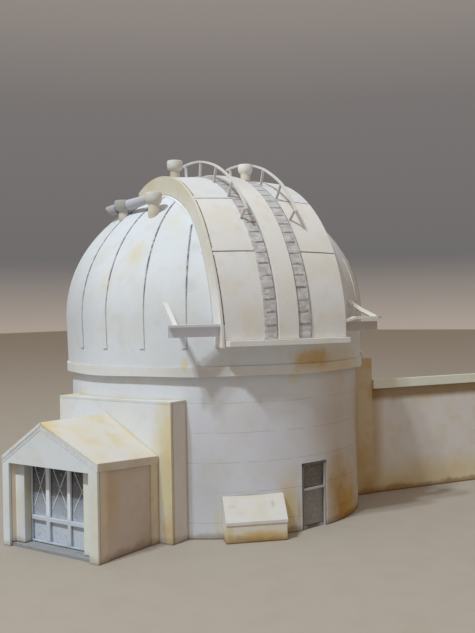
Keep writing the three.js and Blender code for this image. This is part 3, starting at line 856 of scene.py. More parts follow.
@dataclass
class Porch:
    """The gabled shed with its glazed screen."""

    columns: tuple[Pair, ...] = ((-20.1, -11.8), (-9.8, 0.1), (1.8, 12.5))
    pane_top: float = 32.2
    pane_foot: float = 15.2
    glass: float = -97.36
    front: float = -105.5
    back: float = -71.5
    left: float = -29.0
    right: float = 23.1
    ridge: Pair = (-6.5, 50.5)
    eave: float = 36.0
    right_eave: Pair = (37.2, 34.9)
    roof_drop: float = 1.31

    def crosses(self) -> Skin:
        """Two thin strips in each upper pane, from its top corners to the other side near its foot."""
        strips = []
        for left, right in self.columns:
            inset = 0.06 * (right - left)
            for a, b in ((left + inset, right - inset), (right - inset, left + inset)):
                head, foot = (a, self.glass, self.pane_top), (b, self.glass, self.pane_foot)
                strips.append(straight(head, foot, 0.3, 0.12))
        return joined(strips)

    def roof(self) -> Skin:
        """The right slope: four corners weighted by (1 - s)(1 - t), (1 - s) t, s (1 - t) and s t."""
        x, top = self.ridge
        near, far = self.right_eave
        ends = np.array([[x + 0.15, self.front, top], [self.right, self.front, near],
                         [x + 2.15, self.back + 0.2, top], [self.right, self.back + 0.2, far]])
        s, t = np.meshgrid(np.linspace(0, 1, 14), np.linspace(0, 1, 14), indexing="ij")
        over = np.stack([(1 - s) * (1 - t), (1 - s) * t, s * (1 - t), s * t], -1) @ ends
        return sheet(over, over - [0, 0, self.roof_drop])

    def fascias(self) -> Skin:
        """A paper strip 3 mm high along each eave, the right one falling with it."""
        sides = ((self.right + 0.2, *self.right_eave), (self.left - 0.2, self.eave, self.eave))
        return joined([straight((x, self.front, near - 1.55), (x, self.back, far - 1.55), 0.34, 3.0)
                       for x, near, far in sides])

    def verge(self) -> Skin:
        """Two pencil lines on the gable a little below each slope of the roof."""
        x, top = self.ridge
        y = self.front - 0.04
        feet = ((self.left, self.eave), (self.right, self.right_eave[0]))
        return joined([straight((side, y, eave - drop), (x, y, top - drop), 0.12, 0.2, (0, 1, 0))
                       for side, eave in feet for drop in (1.9, 3.0)])

    def card(self) -> None:
        """Dresses the gable, the side walls, the roof and the pilasters."""
        soften("porch_front", CardFinish(tone=(0.745, 0.79, 0.835), grime=0.5, stains=(
            Stain((21.5, self.front, 14), (4.5, 3, 26), (1.0, 0.93, 0.72), 0.7),
            Stain((-14, self.front, 43), (10, 3, 6), (0.94, 0.97, 0.97), 0.8))), raise_above=34)
        brown = CardFinish(tone=(0.66, 0.565, 0.50), grime=0.6, age=0.8, stains=(
            Stain((22.4, -97, 22), (3, 6, 22), (1.0, 0.88, 0.66), 0.8),
            Stain((23, -103, 18), (0.9, 4, 40), (1.15, 1.15, 1.0), 0.9),
            Stain((23, -73, 18), (0.9, 3.5, 40), (1.15, 1.18, 1.05), 0.9)))
        soften("porch_wall_right", brown, raise_above=31)
        soften("porch_wall_left", brown, raise_above=31)
        cream = CardFinish(tone=(0.745, 0.73, 0.69), aged=(1.0, 0.92, 0.7), age=0.8, stains=(
            Stain((9, -71.6, 44), (18, 2.6, 12), YELLOW, 0.8),
            Stain((-3, -104, 50), (9, 5, 3), YELLOW, 0.7),
            Stain((2, -92, 47), (6, 9, 6), (1.0, 0.93, 0.75), 0.7)))
        make_piece("porch_roof_right_sheet", self.roof(), cream, Body.BUILDING,
                   stands_for=["porch_roof_right"], bevel=0.12)
        soften("porch_roof_left", CardFinish(tone=(0.77, 0.785, 0.80)))
        soften("porch_pilaster_left", CardFinish(tone=(0.69, 0.72, 0.74), age=0.8, grime=0.5, stains=(
            Stain((-20.1, -99, 16), (0.7, 3.4, 30), (0.92, 0.82, 0.64), 0.9),
            # The lighter strip at x -25.2 is painted light on the jamb's inner face, which stands in shade.
            Stain((-25.2, -102, 16), (1.2, 7, 60), (1.3, 1.12, 0.9), 0.9))))
        soften("porch_pilaster_right", CardFinish(tone=(0.80, 0.82, 0.76), age=0.8, grime=0.5))

    def build(self) -> None:
        """Dresses the shed and its screen, and lays the crosses, the fascias and the pencil lines."""
        self.card()
        soften("porch_floor", SlabFinish((0.33, 0.345, 0.365)))
        soften("porch_screen", CardFinish(tone=(0.82, 0.88, 0.96), grime=0.4, washes=(
            Wash(14, 11, (0.74, 0.76, 0.78), 0.0),)), 0.12)
        # The panes darken towards the top: partly the print's tone, partly painted shadow of the porch front
        # above them.
        soften("porch_panes", SpeckledFinish((
            (31.0, (0.08, 0.09, 0.11)), (24.0, (0.19, 0.20, 0.235)), (14.0, (0.40, 0.44, 0.51)),
            (10.5, (0.60, 0.66, 0.75)))))
        make_piece("porch_crosses", self.crosses(), CardFinish(tone=(0.8, 0.84, 0.9)),
                   Body.BUILDING)
        make_piece("porch_fascias", self.fascias(), CardFinish(tone=(0.70, 0.64, 0.56), age=0.9),
                   Body.BUILDING)
        make_piece("porch_verge_lines", self.verge(), InkFinish((0.55, 0.55, 0.58), (0.72, 0.73, 0.76)),
                   Body.BUILDING)


@dataclass
class LeanTo:
    """The low box with a steep roof against the drum."""

    bearing: float = 46.5

    def build(self) -> None:
        """Dresses the walls and the roof."""
        b = self.bearing
        walls = CardFinish(tone=(0.78, 0.74, 0.65), age=0.9, grime=0.8, stains=(
            turned_stain(b, (4, -74.6, 1.5), (13, 3, 4.5), (0.85, 0.68, 0.4), 0.8),
            turned_stain(b, (-9, -74.6, 4), (3, 3, 5), (0.9, 0.8, 0.55), 0.6)),
            washes=(Wash(5.5, 2.5, (0.93, 0.84, 0.64)),))
        soften("leanto_walls", walls, raise_above=5)
        soften("leanto_roof", CardFinish(tone=(0.73, 0.725, 0.705), age=0.7, stains=(
            turned_stain(b, (-6.8, -71, 14), (3.0, 1.6, 1.0), (0.85, 0.78, 0.68), 0.6, 2.0),
            turned_stain(b, (9.8, -70.5, 14), (1.0, 1.6, 2.2), BROWN, 0.55, 2.0),
            turned_stain(b, (2, -68.3, 17.4), (14, 1.6, 1.6), CREAM, 0.8))))


@dataclass
class Wing:
    """The neck against the drum and the long building behind it."""

    bearing: float = 150.0

    def build(self) -> None:
        """Dresses the neck, the walls, the roofs, the coping and the upstand."""
        b = self.bearing
        soften("neck_walls", CardFinish(
            tone=(0.63, 0.52, 0.36), aged=(0.94, 0.84, 0.66), age=1.0, grime=0.8, stains=(
                turned_stain(b, (-22.8, -64, 34), (3, 3, 60), (0.6, 0.45, 0.3), 0.8),
                turned_stain(b, (-22.8, -72, 3), (3, 7, 9), (0.86, 0.68, 0.42), 0.7)),
            washes=(Wash(26, 6, (0.99, 0.91, 0.74)),)))
        soften("neck_roof", WHITE)
        soften("neck_upstand", CardFinish(tone=(0.80, 0.79, 0.77), age=0.8, roughness=0.8))
        soften("wing_wall_near", CardFinish(tone=(0.78, 0.755, 0.74), age=0.8, grime=0.9, stains=(
            turned_stain(b, (-22, -88, 1), (3, 22, 7), (0.92, 0.78, 0.52), 0.7),
            # Painted shadow of the neck on the near wall, next to the neck.
            turned_stain(b, (-22, -76, 30), (3, 8, 60), (0.76, 0.62, 0.45), 1.0, 0.5),
            turned_stain(b, (-22, -107, 46), (3, 9, 5), (0.98, 0.88, 0.70), 0.8)),
            # The brown band just under the coping (z 44.6 to 48.4) is painted shadow of the coping; the
            # yellow tint at the foot is real.
            washes=(Wash(44.6, 48.4, (0.54, 0.42, 0.28), 1.0), Wash(20, 5, (0.98, 0.89, 0.64)))))
        plain = CardFinish(tone=(0.78, 0.755, 0.74), age=0.8, grime=0.9)
        soften("wing_wall_far", plain)
        soften("wing_end_wall", plain)
        soften("wing_roof", WHITE)
        soften("wing_coping", CardFinish(tone=(0.82, 0.84, 0.73), age=0.7))


# The dome


@dataclass(frozen=True)
class DomeShape:
    """The dome's outside: a short wall that widens a little, under a cap of elliptical section."""

    foot_z: float = 69.9
    foot_r: float = 69.4
    radius: float = 70.1
    spring_z: float = 90.5
    cap: float = 60.7

    def profile(self, t: np.ndarray, margin: float = 0.0) -> tuple[np.ndarray, np.ndarray]:
        """Radius and height along the profile.

        Args:
            t: from 0 to 1 it climbs the wall, and from 1 to 2 it turns up the quarter ellipse.
            margin: how far outside the dome the profile runs.

        Returns:
            The radii and the heights.
        """
        low, turned = np.clip(t, 0, 1), np.clip(t - 1, 0, 1) * math.pi / 2
        r = np.where(t < 1, self.foot_r + (self.radius - self.foot_r) * low + margin,
                     (self.radius + margin) * np.cos(turned))
        z = np.where(t < 1, self.foot_z + (self.spring_z - self.foot_z) * low,
                     self.spring_z + (self.cap + margin) * np.sin(turned))
        return r, z

    def inside(self, x: np.ndarray, y: np.ndarray, z: np.ndarray, margin: float) -> np.ndarray:
        """Whether places are within the wall's cone, or within the ellipse above the spring.

        Args:
            x: the places' first coordinates, with y and z laid out alike.
            y: their second coordinates.
            z: their heights.
            margin: how far outside the dome still counts.

        Returns:
            True for each place that is inside.
        """
        rho = np.hypot(x, y)
        wall = self.foot_r + (self.radius - self.foot_r) * (z - self.foot_z) / (self.spring_z - self.foot_z)
        cap = (rho / (self.radius + margin)) ** 2 + ((z - self.spring_z) / (self.cap + margin)) ** 2
        return np.where(z < self.spring_z, rho < wall + margin, cap < 1)

    def top(self, x: np.ndarray, y: np.ndarray) -> np.ndarray:
        """The cap's height over a place: spring + cap times the root of 1 - rho squared over r squared."""
        return self.spring_z + self.cap * np.sqrt(1 - (x ** 2 + y ** 2) / self.radius ** 2)


SHAPE = DomeShape()


@dataclass(frozen=True)
class Band:
    """The shutter's crowned band, bent about a level axis. Its frame faces -Y."""

    bearing: float = 61.3
    centre_y: float = 0.9
    centre_z: float = 83.1
    radius: float = 71.5
    crown: float = 1.0
    half: float = 27.06
    cheek: float = 28.56
    start: float = -2.2
    end: float = 107.0
    seams: Pair = (27.3, 52.5)
    slit_end: float = 22.0

    def flare(self, angle: np.ndarray) -> np.ndarray:
        """How far the left edge bulges: 2.6 exp(-((a - 24) / w) squared), w 35 before 24 degrees, then 31."""
        return 2.6 * np.exp(-((angle - 24) / np.where(angle < 24, 35.0, 31.0)) ** 2)

    def tab_edge(self, bulge: np.ndarray, angle: np.ndarray, z: np.ndarray) -> np.ndarray:
        """A tab's outer edge: the cheek's face, and 0.35 mm that grows to 1.55 between z 128 and 148."""
        return self.cheek + bulge * self.flare(angle) + 0.35 + 1.2 * np.clip((z - 128) / 20, 0, 1)

    def over(self, x: np.ndarray) -> np.ndarray:
        """The band's outer radius at a place across it: highest in the middle, a parabola to the sides."""
        return self.radius + self.crown * (1 - (x / self.half) ** 2)

    def at(self, x: np.ndarray, angle: np.ndarray, r: np.ndarray) -> np.ndarray:
        """A place x, centre y - r cos a, centre z + r sin a, with the angle from the level front."""
        a = np.radians(angle)
        y, z = self.centre_y - r * np.cos(a), self.centre_z + r * np.sin(a)
        return np.stack(np.broadcast_arrays(x, y, z), -1)

    def panel(self, turns: Pair, across: Pair, skin: Pair, bulge: Pair = (0.0, 0.0),
              tilt: float = 0.0) -> Skin:
        """A sheet that follows the band: x = left + width s - bulge flare, at angle + tilt s.

        Args:
            turns: the angles it runs between.
            across: its left and right sides.
            skin: its under and upper faces, off the band's radius.
            bulge: the share of the flare that its left and right sides take.
            tilt: how many degrees further its right side is turned.

        Returns:
            The closed sheet.
        """
        share = np.linspace(0, 1, max(3, int((across[1] - across[0]) / 2.4) + 2))[None]
        angles = np.linspace(*turns, max(3, int((turns[1] - turns[0]) / 1.6) + 1))[:, None] + tilt * share
        out = bulge[0] + (bulge[1] - bulge[0]) * share
        x = across[0] + (across[1] - across[0]) * share - out * self.flare(angles)
        return sheet(self.at(x, angles, self.over(x) + skin[1]), self.at(x, angles, self.over(x) + skin[0]))

    def to_dome(self, x: np.ndarray, angle: np.ndarray, margin: float) -> np.ndarray:
        """How far the dome's outside is from the band's axis, halved in on 40 times.

        Args:
            x: places across the band.
            angle: the directions that it looks in.
            margin: how far outside the dome it stops.

        Returns:
            The radii.
        """
        x, angle = np.broadcast_arrays(np.asarray(x, float), angle)
        low, high = np.zeros(x.shape), np.full(x.shape, 100.0)
        for _ in range(40):
            middle = (low + high) / 2
            within = SHAPE.inside(*np.moveaxis(self.at(x, angle, middle), -1, 0), margin)
            low, high = np.where(within, middle, low), np.where(within, high, middle)
        return high


BAND = Band()


def band_stain(x: float, angle: float, reach: Triple, tint: Triple, depth: float, ragged: float = 1.1,
               r: float = 72.0) -> Stain:
    """A blot, a real mark or painted shading, on the shutter: x across the band, at an angle and at r from
    the band's axis.
    """
    return turned_stain(BAND.bearing, BAND.at(x, angle, r), reach, tint, depth, ragged)


def band_piece(name: str, skin: Skin, finish: Finish,
               stands_for: Sequence[str] = (), bevel: float = 0.0) -> bpy.types.Object:
    """Makes a piece of the dome whose surface is in the shutter's frame."""
    return make_piece(name, skin.turned(BAND.bearing), finish, Body.DOME, stands_for, bevel)


@dataclass
class Dome:
    """The skirt and the dome's card, with its ribs: raised gore edges coloured dark as painted shadow."""

    ribs: tuple[float, ...] = (-18.5, -4.1, 12.0, 27.0, *range(117, 313, 15))
    rib_foot: float = 77.5
    strip_bearing: float = 103.0

    def skirt(self) -> Skin:
        """A lathe ring whose lower edge wanders by 0.15 mm: z + 0.15 sin of 9 times the bearing."""
        out, wall, lip = 70.0, 68.3, 63.6
        foot, under, top = 65.8, 68.2, 69.85
        profile = [[wall, foot], [out, foot], [out, top], [lip, top], [lip, under], [wall, under]]
        ring = lathe(np.array(profile), 180)
        x, y, z = ring.corners.T
        wave = np.sin(np.arctan2(x, -y) * 9) * (z < 66) * 0.15
        return Skin(np.stack([x, y, z + wave], -1), ring.faces)

    def shell(self) -> Skin:
        """The dome's card: bearing by profile, its radius moved by 0.12 sin(3 b + 20) sin(2.6 t).

        Returns:
            The card as a sheet, its cells left out under the shutter.
        """
        bearings = np.linspace(0, 360, 180, endpoint=False)[:, None]
        t = np.concatenate([np.linspace(0, 1, 9), 1 + np.linspace(0, 1, 58)[1:]])
        grids = []
        for margin in (0.0, -CARD):
            r, z = SHAPE.profile(t, margin)
            wander = 0.12 * np.sin(np.radians(bearings * 3 + 20)) * np.sin(t * 2.6) * (t < 1.9)
            grids.append(on_round(np.maximum(r + wander * (r > 3), 0), bearings, z))
        middle = (grids[0] + np.roll(grids[0], -1, 0))[:, :-1] / 2
        x, y, up = np.moveaxis(turn(middle, -BAND.bearing), -1, 0)
        hidden = (np.abs(x) < 26.6) & (y < BAND.slit_end - 1.5) & (up > 82)
        return sheet(*grids, ~hidden, wrap=True)

    def strip(self, bearing: float, heights: Pair, half: float, thick: float) -> Skin:
        """A strip up the dome, wider towards the top, that stops at the edge of a cheek's tab.

        Args:
            bearing: where it stands, in degrees.
            heights: where it starts and ends.
            half: half its width at the foot, where it is narrowest.
            thick: how far it stands off the card.

        Returns:
            The closed strip.
        """
        r, z = SHAPE.profile(np.linspace(0, 1.985, 240))
        within = (z >= heights[0]) & (z <= heights[1])
        r, z = r[within], z[within]
        path = on_round(r, bearing, z)
        x, y, _ = np.moveaxis(turn(path, -BAND.bearing), -1, 0)
        angle = np.degrees(np.arctan2(z - BAND.centre_z, BAND.centre_y - y))
        covered = (np.abs(x) < BAND.tab_edge(x < 0, angle, z)) & (y < BAND.slit_end + 2)
        path = path[:int(np.argmax(covered)) if covered.any() else len(path)]
        level = on_round(1.0, bearing + 90, 0.0)
        up = np.cross(level, unit(np.gradient(path, axis=0)))
        wider = 1 + 0.7 * np.clip((path[:, 2:] - 90) / 20, 0, 1)
        return sweep(path, level * wider, up, oblong(half, -0.1, thick))

    def tick(self, bearing: float) -> Skin:
        """The short level dash at a rib's foot."""
        ends = (tuple(on_round(69.72, bearing + off, self.rib_foot - 0.4)) for off in (-1.7, 0.2))
        return straight(*ends, 0.42, 0.3, (0, 0, 1))

    def build(self) -> None:
        """Makes the skirt, the shell, the ribs and the strip on the right."""
        blotch = wall_stain(71.5, 71.7, (15, 6.5), ORANGE, 0.9)
        foot = wall_stain(26.3, 70.5, (2, 4.5), YELLOW, 0.8)
        skirt = CardFinish(tone=(0.76, 0.775, 0.79), stains=(
            blotch, foot,
            wall_stain(-20, 69, (30, 3), CREAM, 0.4),
            wall_stain(29, 67.5, (16, 4), (0.86, 0.84, 0.83), 0.8),
            # The warm tint on the right is partly real discolouring and partly painted warm shade on the
            # shaded side.
            wall_stain(86, 68, (38, 8), (0.94, 0.81, 0.60), 1.0, 0.4)))
        make_piece("skirt_ring", self.skirt(), skirt, Body.DOME, stands_for=["skirt_band"], bevel=0.12)
        card = CardFinish(tone=(0.758, 0.797, 0.846), stains=(
            blotch, foot,
            # Partly real discolouring, partly painted warm shade on the shaded right side of the dome's foot.
            wall_stain(84, 70, (30, 11), (0.95, 0.83, 0.64), 1.0, 0.5),
            Stain((5.4, -63.4, 116), (6, 6, 9), (1.0, 0.90, 0.68), 0.7, 2.2),
            Stain((8, -62.5, 113), (5, 5, 12), (1.0, 0.94, 0.78), 0.6, 2.0),
            Stain((16.6, -49.6, 131), (7, 7, 7), (1.0, 0.95, 0.82), 0.6),
            Stain((21.5, -52.5, 126), (6, 6, 6), (1.0, 0.96, 0.84), 0.5),
            Stain((30.5, -54.2, 118.4), (4, 4, 4), GREY, 0.4),
            Stain((32.1, -60.7, 102.8), (4, 4, 4), GREY, 0.4),
            Stain((-6.2, -67.5, 106), (7, 6, 9), (1.0, 0.95, 0.8), 0.6),
            Stain((-40, 40, 110), (18, 18, 16), CREAM, 0.5),
            # Partly real discolouring, partly painted warm shade on the shaded right side of the dome.
            wall_stain(108, 92, (34, 40), (0.93, 0.87, 0.79), 1.0, 0.2),
            wall_stain(-28, 96, (34, 44), (0.87, 0.875, 0.875), 1.0, 0.2),
        # The tint by height is painted shade: the dome is darker from about z 110 up to its top.
        ), washes=(Wash(108, 128, (0.93, 0.945, 0.95)),))
        nodes = ["dome_shell_left", "dome_shell_right", "dome_shell_rear", "dome_apron"]
        make_piece("dome_card", self.shell(), card, Body.DOME, stands_for=nodes)
        # The ribs are the gores' raised edges; their dark colour is painted shadow along those edges.
        ribs = [self.strip(bearing, (self.rib_foot, 160), 0.2, 0.14) for bearing in self.ribs]
        dark_lines = InkFinish((0.17, 0.17, 0.22), (0.46, 0.46, 0.49), (106, 90))
        make_piece("dome_ribs", joined(ribs + [self.tick(bearing) for bearing in self.ribs]), dark_lines, Body.DOME)
        make_piece("dome_side_strip", self.strip(self.strip_bearing, (80, 115), 0.4, 0.3),
                   CardFinish(tone=(0.74, 0.73, 0.72)), Body.DOME)


@dataclass
class Cheek:
    """The crescent that closes one side of the shutter, and the glued tab at its foot on the dome."""

    side: Side
    rim: float
    foot: float
    bulge: float

    def crescent(self) -> Skin:
        """Angle by reach: from the dome's outside out to the rim's radius, as thick as card."""
        angles = np.linspace(self.foot, 109.5, 90)[:, None]
        share = np.linspace(0, 1, 4)[None]
        faces = []
        for face in (BAND.cheek, BAND.cheek - CARD):
            x = self.side.value * (face + self.bulge * BAND.flare(angles))
            low = BAND.to_dome(x, angles, GAP)
            faces.append(BAND.at(x, angles, low + share * (self.rim - low)))
        return sheet(*faces)

    def tab(self) -> Skin:
        """A paper strip on the dome beside the cheek, wider towards the top, its edge a little uneven."""
        angles = np.linspace(4.5, 107.5, 90)[:, None]
        inner = BAND.cheek + self.bulge * BAND.flare(angles) + 0.03
        low = BAND.to_dome(self.side.value * inner, angles, 0)
        height = BAND.centre_z + low * np.sin(np.radians(angles))
        edge = BAND.tab_edge(self.bulge, angles, height) + 0.1 * np.sin(angles / 4.1)
        x = self.side.value * (inner + np.linspace(0, 1, 4)[None] * (edge - inner))
        return sheet(*(BAND.at(x, angles, BAND.to_dome(x, angles, off)) for off in (0.2, 0.03)))

    def build(self) -> None:
        """Makes the crescent and its tab."""
        name = self.side.word
        rim = CardFinish(tone=(0.82, 0.82, 0.81), stains=(
            band_stain(self.side.value * 28, 96, (6, 10, 5), (0.94, 0.86, 0.7), 0.7, r=71.0),),
            washes=(Wash(95, 115, (0.90, 0.88, 0.80)), Wash(132, 152, (0.97, 0.94, 0.86))))
        band_piece(f"cheek_{name}", self.crescent(), rim, [f"shutter_cheek_{name}"], 0.12)
        smudges = tuple(band_stain(-31.2, angle, (2, 2, 1.4), (0.72, 0.72, 0.74), 0.6, r=r)
                        for angle, r in ((39, 62), (30, 66), (24, 68)))
        paper = CardFinish(tone=(0.765, 0.80, 0.845), stains=smudges)
        band_piece(f"cheek_tab_{name}", self.tab(), paper)


@dataclass
class Ladder:
    """A printed ladder band: its sides across the shutter, the angle it ends at and its tone there."""

    side: Side
    across: Pair
    end: float
    top: Triple
    first_rung: float = 2.3
    rung_step: float = 4.07
    rung_count: int = 18

    def edges(self) -> list[Pair]:
        """The lines down the band: one along each edge, but none along the left band's outer edge."""
        left, right = self.across
        outer = [] if self.side is Side.LEFT else [(left, left + 0.3)]
        # The left band's only line, beside the raised strip, is painted shadow of the strip.
        return [*outer, (right - 0.35, right)]

    def marks(self) -> Skin:
        """The rungs, which stop short of the band's outer edge, and the lines down it."""
        left, right = self.across
        marks = []
        for k in range(self.rung_count):
            angle = self.first_rung + self.rung_step * k + 0.15 * math.sin(k * 1.7 + self.side.value)
            thick = (0.21 if angle < 53 else 0.12) + 0.05 * math.sin(k * 2.9)
            short = 0.9 + 0.3 * math.sin(k * 2.1)
            reach = (left + short, right - 0.2) if self.side is Side.LEFT else (left + 0.2, right - short)
            marks.append(BAND.panel((angle - thick, angle + thick), reach, (0.36, 0.54), tilt=0.3))
        run = (BAND.start + 0.1, self.end)
        return joined([*marks, *(BAND.panel(run, edge, (0.36, 0.52)) for edge in self.edges())])

    def build(self) -> None:
        """Makes the band's paper and its marks."""
        name = self.side.word
        paper = BAND.panel((BAND.start + 0.1, self.end), self.across, (0.06, 0.42))
        band_piece(f"ladder_{name}", paper, LadderFinish(self.top),
                   [f"ladder_band_{name}"])
        dark_lines = InkFinish((0.25, 0.24, 0.26), (0.44, 0.43, 0.45), (134, 146))
        band_piece(f"rungs_{name}", self.marks(), dark_lines)


@dataclass
class Shutter:
    """The closed shutter: three panels, a raised strip, two ladder bands, a ledge and cheeks.

    The panels lie across the whole shutter. A joint between them is 0.5 mm wide, given as an angle.
    """

    across: Pair = (-BAND.half, BAND.cheek)
    strip: Pair = (-5.3, 4.05)
    joint: float = math.degrees(0.5 / BAND.radius)

    def lines(self) -> Skin:
        """The shadowed joints: across the band at each seam, and down it beside the left cheek."""
        low, high = BAND.seams
        seams = ((at + 0.02, at + self.joint - 0.02) for at in BAND.seams)
        runs = ((BAND.start + 5, low - 1.2), (low + 1.8, high - 1.2), (high + 1.8, BAND.end))
        beside = (CARD - BAND.cheek + 0.03, -BAND.half + 0.3)
        return joined([*(BAND.panel(seam, self.across, (-0.9, -0.22), (1.0, 0.0)) for seam in seams),
                       *(BAND.panel(run, beside, (-0.9, 0.1), (1.0, 1.0)) for run in runs)])

    def panels(self) -> None:
        """Makes the three panels, the upper two from a joint at their feet."""
        low, high = BAND.seams
        warm = CardFinish(tone=(0.80, 0.80, 0.805), age=0.8, stains=(
            band_stain(-19, 6, (6, 9, 8), (1.0, 0.93, 0.8), 0.5),
            band_stain(20, 4, (9, 9, 7), (1.0, 0.95, 0.86), 0.4)))
        rows = (("lower", BAND.start, low, warm),
                ("middle", low + self.joint, high, CardFinish(tone=(0.79, 0.785, 0.77), age=0.7)),
                ("upper", high + self.joint, BAND.end, CardFinish(tone=(0.735, 0.76, 0.785))))
        for part, start, end, finish in rows:
            skin = BAND.panel((start, end), self.across, (-CARD, 0), (1.0, 0.0))
            band_piece(f"panel_{part}", skin, finish, [f"shutter_panel_{part}"], 0.1)

    def build(self) -> None:
        """Makes every piece of the shutter."""
        self.panels()
        # The dark strips under the joints and beside the left cheek are painted shade in the gaps.
        band_piece("shutter_joints", self.lines(), InkFinish((0.16, 0.135, 0.11), (0.30, 0.27, 0.22)))
        Ladder(Side.LEFT, (-11.4, -5.6), 99.0, (0.47, 0.46, 0.48)).build()
        Ladder(Side.RIGHT, (4.35, 10.5), 70.0, (0.58, 0.58, 0.60)).build()
        strip = CardFinish(tone=(0.795, 0.785, 0.765), stains=(
            band_stain(1, 14, (4, 9, 9), (1.0, 0.95, 0.84), 0.5),
            band_stain(0, 74, (8, 30, 24), (0.82, 0.85, 0.87), 1.0, 0.3)))
        band_piece("centre_strip", BAND.panel((BAND.start + 0.1, BAND.end), self.strip, (0.06, 1.2)),
                   strip, ["shutter_strip"], 0.1)
        soften("shutter_ledge", CardFinish(tone=(0.80, 0.80, 0.805), age=0.7, stains=(
            band_stain(1, -3.5, (6, 4, 3), (0.95, 0.84, 0.62), 0.8, r=73.0),)), 0.12)
        soften("shutter_rear_plate", CardFinish(tone=(0.72, 0.68, 0.6), age=0.9))
        Cheek(Side.LEFT, BAND.radius + GAP, -4.5, 1.0).build()
        Cheek(Side.RIGHT, BAND.radius - CARD - 2 * GAP, -2.0, 0.0).build()


@dataclass
class Railing:
    """A bent handrail of paper strip on five posts."""

    side: Side
    offset: float = 11.9
    centre_z: float = 82.0
    radius: float = 80.4
    start: float = 41.5
    end: float = 95.5
    posts: tuple[float, ...] = (42.5, 55.0, 68.0, 80.5, 93.0)

    def rail_at(self, angle: np.ndarray) -> np.ndarray:
        """The rail's line, a circle whose radius is less by 1.8 ((58 - a) / 16) squared before 58 degrees.

        Args:
            angle: the angles from the level front, in degrees.

        Returns:
            A point for each angle.
        """
        r = self.radius - 1.8 * np.maximum(0, (58 - angle) / 16) ** 2
        a = np.radians(angle)
        x = np.full(a.shape, self.side.value * self.offset)
        return np.stack([x, -r * np.cos(a), self.centre_z + r * np.sin(a)], -1)

    def skin(self) -> Skin:
        """The handrail as a flat strip, a little kinked at the posts, and the posts under it."""
        stations = np.array([self.start, *self.posts, self.end])
        angles = np.linspace(self.start, self.end, 46)
        chords = np.stack([np.interp(angles, stations, self.rail_at(stations)[:, k]) for k in range(3)], -1)
        path = 0.78 * self.rail_at(angles) + 0.22 * chords
        a = np.radians(angles)[:, None]
        up = np.concatenate([np.zeros(a.shape), -np.cos(a), np.sin(a)], -1)
        parts = [sweep(path, np.array([1.0, 0, 0]), up, oblong(0.6, -0.42, 0.42))]
        x = self.side.value * self.offset
        for angle in self.posts:
            foot = BAND.at(x, angle - 1, BAND.over(x) + 0.05)
            parts.append(straight(tuple(foot), tuple(self.rail_at(np.array([angle]))[0]), 1.15, 0.6))
        return joined(parts)

    def build(self) -> None:
        """Makes the railing."""
        name = self.side.word
        paper = CardFinish(tone=(0.71, 0.70, 0.695), age=0.7)
        band_piece(f"handrail_{name}", self.skin(), paper, [f"railing_{name}"], 0.08)


@dataclass
class Vent:
    """A rolled paper neck under a bowl-shaped head, upright on the dome or the shutter.

    The place is in the shutter's frame, the neck and the head are radii, and below tints the neck.
    """

    name: str
    place: Pair
    shoulder: float
    top: float
    neck: float
    head: float
    on_band: bool
    tone: Triple
    below: Triple = (0.96, 0.9, 0.78)

    def skin(self) -> Skin:
        """A lathe of the neck and bowl, out of round by 0.012 sin(3 b + z), its foot on what carries it."""
        s, t, n, h = self.shoulder, self.top, self.neck, self.head
        profile = np.array([
            [0, 0], [n, 0], [n, s - 0.6], [n * 1.03, s - 0.2], [0.85 * h, s + 0.4], [0.96 * h, s + 1.2],
            [h, s + 2.0], [h, t - 0.5], [h - 0.25, t], [h - 0.9, t], [h - 1.2, t - 0.45], [0, t - 0.6]])
        body = lathe(profile, 36)
        across, along, z = body.corners.T
        x, y = across + self.place[0], along + self.place[1]
        if self.on_band:
            ground = BAND.centre_z + np.sqrt(BAND.over(x) ** 2 - (y - BAND.centre_y) ** 2)
        else:
            ground = SHAPE.top(x, y)
        z = np.where(z < 1, ground + 0.03, z)
        roll = 1 + 0.012 * np.sin(3 * np.arctan2(along, across) + z)
        return Skin(np.stack([self.place[0] + across * roll, y, z], -1), body.faces)

    def build(self) -> None:
        """Makes the vent, shadowed where it stands."""
        foot = (*self.place, self.shoulder - 5.4)
        shade = turned_stain(BAND.bearing, foot, (6, 6, 3.6), (0.76, 0.71, 0.58), 0.9)
        paper = CardFinish(tone=self.tone, aged=(0.93, 0.88, 0.78), age=1.0, stains=(shade,), washes=(
            Wash(self.shoulder + 0.2, self.shoulder - 1.2, self.below, 0.6),))
        band_piece(f"{self.name}_roll", self.skin(), paper, [self.name], 0.06)


